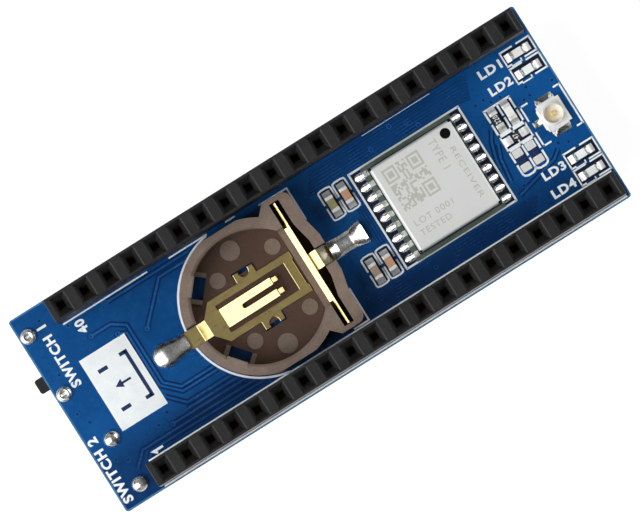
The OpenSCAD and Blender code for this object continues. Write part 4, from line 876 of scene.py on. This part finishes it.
def addSpun(bm, centre, profile, steps=28):
    # turned shape from a profile of radius and height
    part = bmesh.new()
    points = [part.verts.new((centre[0] + r, centre[1], z)) for r, z in profile]
    edges = [part.edges.new(pair) for pair in zip(points, points[1:])]
    bmesh.ops.spin(
        part, geom=points + edges, cent=(centre[0], centre[1], 0), axis=(0, 0, 1), angle=math.tau, steps=steps,
        use_merge=True,
    )
    bmesh.ops.remove_doubles(part, verts=part.verts, dist=0.0005)
    joinInto(bm, part)


def makeLegJoints():
    bm = bmesh.new()
    spots, radius = endSpots("switch_solder")
    rise = jointSizes["legRise"]
    profile = [(radius, boardZ)]
    for i in range(1, 11):
        turn = math.radians(12 + 15 * i)
        profile.append((radius * (0.56 + 0.44 * math.cos(turn)), boardZ + rise * math.sin(turn)))
    profile.append((0.0, boardZ + rise * 0.45))
    for spot in spots:
        addSpun(bm, spot, profile)
    return finishPiece("leg_joints", bm, "solder", smooth=60, replaced=["switch_solder"])


def makeLeadJoints():
    bm = bmesh.new()
    spots, radius = endSpots("button_solder")
    rise = jointSizes["leadRise"]
    profile = [
        (radius * math.cos(math.radians(a)), boardZ + rise * math.sin(math.radians(a))) for a in range(0, 91, 9)
    ]
    for spot in spots:
        addSpun(bm, spot, profile)
    return finishPiece("lead_joints", bm, "solder", smooth=60, replaced=["button_solder"])


def addPool(bm, start, stop, half, level, round0, middle=0.0, columns=36, rows=16, ridge=1.0, skirt=0.0):
    # pool of solder along X: half width, height and roundness of its section as functions from 0 to 1,
    # with a low skirt beside a narrower ridge where asked
    part = bmesh.new()
    bmesh.ops.create_grid(part, x_segments=columns, y_segments=rows, size=0.5)
    for vert in part.verts:
        along, across = min(max(vert.co.x + 0.5, 0.0), 1.0), min(max(vert.co.y * 2, -1.0), 1.0)
        crown = max(1 - (across / ridge) ** 2, 0.0) ** round0(along)
        height = max(level(along) * crown, skirt if abs(across) < 0.99 else 0.0)
        vert.co = (start + (stop - start) * along, middle + half(along) * across, boardZ + height)
    rim = [edge for edge in part.edges if edge.is_boundary]
    foot = bmesh.ops.extrude_edge_only(part, edges=rim)["geom"]
    for vert in [v for v in foot if isinstance(v, bmesh.types.BMVert)]:
        vert.co.z = boardZ
    bmesh.ops.remove_doubles(part, verts=part.verts, dist=0.0005)
    bmesh.ops.holes_fill(part, edges=[edge for edge in part.edges if edge.is_boundary])
    joinInto(bm, part)


def blendOver(value, low, high):
    # smooth step from 0 to 1
    step = min(max((value - low) / (high - low), 0.0), 1.0)
    return step * step * (3 - 2 * step)


poolSizes = dict(
    dropStart=-17.62, dropStop=-13.95, dropHalf=1.34, dropNeck=1.0, dropRise=0.9, dropNeckRise=0.74,
    flareStart=1.72, flareStop=5.36, flareRoot=1.02, flareWaist=0.93, flareEnd=1.19, flareRise=0.88, flareEndRise=0.84,
    flareWaistRise=0.34, flareSkirt=0.225,
)


def makeCellJoints():
    bm = bmesh.new()
    size = poolSizes

    # drop over the end of the floor contact's tab
    def dropHead(along):
        return math.sqrt(max(1 - (1 - min(along / 0.42, 1.0)) ** 2, 0.0))

    addPool(
        bm, size["dropStart"], size["dropStop"],
        lambda t: dropHead(t) * (size["dropHalf"] + (size["dropNeck"] - size["dropHalf"]) * blendOver(t, 0.3, 0.85)),
        lambda t: dropHead(t) * (size["dropRise"] + (size["dropNeckRise"] - size["dropRise"]) * blendOver(t, 0.2, 0.9)),
        lambda t: 0.36,
    )

    # fishtail over the end of the side contact's tab, rising to its far end
    def tailHalf(t):
        root = size["flareRoot"] - size["flareWaist"]
        end = size["flareEnd"] - size["flareWaist"]
        return size["flareWaist"] + root * (1 - blendOver(t, 0.0, 0.4)) + end * blendOver(t, 0.5, 1.0)

    def tailLevel(t):
        climb = (size["flareRise"] - size["flareWaistRise"]) * max(1 - t / 0.22, 0.0)
        rise = (size["flareEndRise"] - size["flareWaistRise"]) * max((t - 0.6) / 0.4, 0.0)
        return size["flareWaistRise"] + climb + rise

    addPool(
        bm, size["flareStart"], size["flareStop"], tailHalf, tailLevel,
        lambda t: 0.5 - 0.4 * blendOver(t, 0.6, 0.95), rows=28, ridge=0.84, skirt=size["flareSkirt"],
    )
    return finishPiece("cell_joints", bm, "solder", smooth=50, replaced=["battery_solder"])


padSizes = dict(
    count=9, pitch=1.1, reach=1.0, width=0.88, keyRise=0.52, endRise=0.68, capGap=0.1, capWidth=0.54, vary=0.12,
    seed=3, tuck=0.02, nose=0.6, footShare=0.1, crown=0.4, capSink=0.1, capRise=0.03,
)


def makeModuleJoints():
    bm, caps = bmesh.new(), bmesh.new()
    size = padSizes
    low, high = (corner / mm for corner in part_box("receiver_board"))
    shieldLow, shieldHigh = (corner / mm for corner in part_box("receiver_shield"))
    middle, half = (low.x + high.x) / 2, (high.x - low.x) / 2
    chance = random.Random(size["seed"])
    gap = size["capGap"]
    for side, inner, climb in ((-1, shieldLow.x - gap, "keyRise"), (1, shieldHigh.x + gap, "endRise")):
        for i in range(size["count"]):
            y = (i - (size["count"] - 1) / 2) * size["pitch"]
            reach, width, rise = (
                size[key] * (1 - size["vary"] * chance.random()) for key in ("reach", "width", climb)
            )
            edge = middle + side * (half - size["tuck"])
            addPool(
                bm, edge + side * reach, edge,
                lambda t: width / 2 * math.sqrt(1 - (1 - min(t / size["nose"], 1.0)) ** 2),
                lambda t: rise * (size["footShare"] + (1 - size["footShare"]) * t), lambda t: size["crown"], y, 12, 10,
            )
            addBar(caps, (edge, y), (inner, y), size["capWidth"], high.z - size["capSink"], high.z + size["capRise"])
    finishPiece("module_caps", caps, "capMetal")
    return finishPiece("module_joints", bm, "dullSolder", smooth=50, replaced=["receiver_solder"])


groundSizes = dict(crest=0.34, root=0.92, foot=0.86, sheet=0.16, tabHalf=0.38, tabWaist=0.29, tabRise=0.34)


def makeAntennaJoints():
    # hipped joints at the two ground tabs and an hourglass over the signal tab
    bm = bmesh.new()
    size = groundSizes
    low, high = (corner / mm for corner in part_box("antenna_solder"))
    baseLow, baseHigh = (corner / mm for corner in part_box("antenna_base"))
    middle = (baseLow.x + baseHigh.x) / 2
    top = baseHigh.z + size["sheet"] / 2
    for near, far in ((baseLow.y - size["sheet"], low.y), (baseHigh.y + size["sheet"], high.y)):
        part = bmesh.new()
        for side in (-1, 1):
            for x, y, z in (
                (size["crest"], near, top), (size["root"], near, boardZ + 0.16), (size["root"], near, boardZ),
                (size["foot"], far, boardZ + 0.03), (size["foot"], far, boardZ),
            ):
                part.verts.new((middle + side * x, y, z))
        bmesh.ops.convex_hull(part, input=part.verts)
        joinInto(bm, part)
    addPool(
        bm, low.x, baseLow.x, lambda t: size["tabWaist"] + (size["tabHalf"] - size["tabWaist"]) * (2 * t - 1) ** 2,
        lambda t: size["tabRise"] * (0.62 + 0.38 * (2 * t - 1) ** 2), lambda t: 0.2, (low.y + high.y) / 2, 16, 10,
    )
    return finishPiece("antenna_joints", bm, "solder", smooth=30, replaced=["antenna_solder"])


ledSizes = dict(crest=0.13, crestRise=0.5, footRise=0.22, footOver=0.05)


def makeLedJoints():
    # hipped joints at the ends of each indicator, wide at the foot and narrow at the lens
    bm = bmesh.new()
    size = ledSizes
    low, high = (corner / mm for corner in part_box("led_ends"))
    for node in ("led_1", "led_2", "led_3", "led_4"):
        lensLow, lensHigh = (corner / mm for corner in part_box(node))
        y, half = (lensLow.y + lensHigh.y) / 2, (lensHigh.y - lensLow.y) / 2 + size["footOver"]
        for foot, crest in ((low.x, lensLow.x), (high.x, lensHigh.x)):
            part = bmesh.new()
            for side in (-1, 1):
                for x, across, rise in (
                    (foot, half, size["footRise"]), (foot, half, 0.0), (crest, size["crest"], size["crestRise"]),
                    (crest, half, 0.0),
                ):
                    part.verts.new((x, y + side * across, boardZ + rise))
            bmesh.ops.convex_hull(part, input=part.verts)
            joinInto(bm, part)
    return finishPiece("led_joints", bm, "solder", replaced=["led_ends"])


makeLedJoints()
makeAntennaJoints()
makeLegJoints()
makeLeadJoints()
makeCellJoints()
makeModuleJoints()
print("solder done")

# snap dome under the plunger, in its raised shape; the real one flattens as the button is pressed
domeSizes = dict(thick=0.08, keep=0.32, steps=40)


def makeSnapDome():
    bm = bmesh.new()
    low, high = (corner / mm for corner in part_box("button_dome"))
    centre = ((low.x + high.x) / 2, (low.y + high.y) / 2)
    radius, thick = (high.x - low.x) / 2, domeSizes["thick"]
    rise = high.z - low.z - thick
    half = [(0.0, rise), (radius * 0.5, rise * 0.75), (radius, 0.0)]
    section = half + [(r, z + thick) for r, z in reversed(half)]
    addSpun(bm, centre, [(r, high.z - z) for r, z in section], domeSizes["steps"])
    piece = finishPiece("snap_dome", bm, "platedMetal", smooth=40, replaced=["button_dome"])
    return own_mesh(piece)


makeSnapDome()

# numbers on the chip resistors
chipSizes = dict(thick=0.008, height=0.5)


def makeChipMarks():
    bm = bmesh.new()
    for node, words, length, turn in (("resistor_1", "220", 0.8, 90), ("resistor_2", "47", 0.5, 90)):
        low, high = (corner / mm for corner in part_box(node))
        centre = ((low.x + high.x) / 2, (low.y + high.y) / 2)
        addWords(bm, words, centre, (length, chipSizes["height"]), turn, high.z, high.z + chipSizes["thick"], 0.01)
    return finishPiece("chip_marks", bm, "printWhite")


makeChipMarks()

# small radii on the moulded and stamped pieces
edgeRadii = {
    "battery_holder": 0.06, "battery_floor_contact": 0.05, "battery_side_contact": 0.04, "socket_strip_1": 0.06,
    "socket_strip_2": 0.06, "capacitor_ends": 0.05, "resistor_ends": 0.05, "switch_lever": 0.08,
    "antenna_shell": 0.05, "antenna_base": 0.05,
}
for name, radius in edgeRadii.items():
    weld = nodes[name].modifiers.new("joinCorners", "WELD")
    weld.merge_threshold = 1e-6
    bevel = nodes[name].modifiers.new("roundEdges", "BEVEL")
    bevel.width = radius * mm
    bevel.segments = 2
    bevel.limit_method = "ANGLE"
    bevel.angle_limit = math.radians(35)
print("edges done")


# camera far above, turned and tilted a little as in the picture
viewSizes = dict(
    aim=(0.482, -0.23, 18.1), distance=1250, lens=764.4, turn=-32.12, tilt=1.45, sensor=36, clip=(0.05, 30),
)
camera = bpy.data.objects.new("camera", bpy.data.cameras.new("camera"))
scene.collection.objects.link(camera)
camera.data.lens = viewSizes["lens"]
camera.data.sensor_width = viewSizes["sensor"]
camera.data.clip_start, camera.data.clip_end = viewSizes["clip"]
tilt = math.radians(viewSizes["tilt"])
stand = Vector((0, -math.sin(tilt), math.cos(tilt))) * viewSizes["distance"]
camera.location = (Vector(viewSizes["aim"]) + stand) * mm
turned = Matrix.Rotation(tilt, 4, "X") @ Matrix.Rotation(math.radians(viewSizes["turn"]), 4, "Z")
camera.rotation_euler = turned.to_euler()
scene.camera = camera

# studio: two soft boxes at the ends, weaker ones at the sides, pale floor
lampLooks = {
    "keyBox": dict(place=(-0.46, -0.02, 0.38), size=(0.5, 0.84), power=5.6),
    "endBox": dict(place=(0.55, 0.05, 0.24), size=(0.36, 0.27), power=1.9),
    "frontBox": dict(place=(0.0, -0.6, 0.35), size=(0.5, 0.25), power=0.15),
    "backBox": dict(place=(0.0, 0.6, 0.35), size=(0.5, 0.25), power=0.15),
}
for name, look in lampLooks.items():
    lamp = bpy.data.lights.new(name, "AREA")
    lamp.shape = "RECTANGLE"
    lamp.size, lamp.size_y = look["size"]
    lamp.energy = look["power"]
    box = bpy.data.objects.new(name, lamp)
    box.location = look["place"]
    box.rotation_euler = (-Vector(look["place"])).to_track_quat("-Z", "Y").to_euler()
    scene.collection.objects.link(box)

studioLooks = dict(sky=0.17, floorPlain=0.8, floorSeen=0.26, floorGlow=0.88, floorHalf=8.0)
world = bpy.data.worlds.new("studio")
scene.world = world
world.use_nodes = True
world.node_tree.nodes["Background"].inputs["Color"].default_value = (1.0, 1.0, 1.0, 1.0)
world.node_tree.nodes["Background"].inputs["Strength"].default_value = studioLooks["sky"]


def makeFloorFinish():
    # pale to the object, and nearly white with a faint shadow to the eye and in reflections
    material = bpy.data.materials.new("paleFloor")
    material.use_nodes = True
    tree = material.node_tree
    tree.nodes.clear()
    link = tree.links.new
    seen = addNode(tree, "ShaderNodeLightPath")
    first = addNode(tree, "ShaderNodeMath", operation="MAXIMUM")
    either = addNode(tree, "ShaderNodeMath", operation="MAXIMUM")
    plain = addNode(tree, "ShaderNodeBsdfDiffuse", {"Color": (studioLooks["floorPlain"],) * 3 + (1,)})
    soft = addNode(tree, "ShaderNodeBsdfDiffuse", {"Color": (studioLooks["floorSeen"],) * 3 + (1,)})
    glow = addNode(tree, "ShaderNodeEmission", {"Color": (1, 1, 1, 1), "Strength": studioLooks["floorGlow"]})
    both = addNode(tree, "ShaderNodeAddShader")
    pick = addNode(tree, "ShaderNodeMixShader")
    out = addNode(tree, "ShaderNodeOutputMaterial")
    link(seen.outputs["Is Camera Ray"], first.inputs[0])
    link(seen.outputs["Is Glossy Ray"], first.inputs[1])
    link(first.outputs[0], either.inputs[0])
    link(seen.outputs["Is Transmission Ray"], either.inputs[1])
    link(soft.outputs[0], both.inputs[0])
    link(glow.outputs[0], both.inputs[1])
    link(either.outputs[0], pick.inputs[0])
    link(plain.outputs[0], pick.inputs[1])
    link(both.outputs[0], pick.inputs[2])
    link(pick.outputs[0], out.inputs["Surface"])
    return material


floorMesh = bmesh.new()
bmesh.ops.create_grid(floorMesh, x_segments=1, y_segments=1, size=studioLooks["floorHalf"])
floorData = bpy.data.meshes.new("floor")
floorMesh.to_mesh(floorData)
floorMesh.free()
floorData.materials.append(makeFloorFinish())
floor = bpy.data.objects.new("floor", floorData)
scene.collection.objects.link(floor)
scene.view_settings.view_transform = "Standard"
print("studio done")
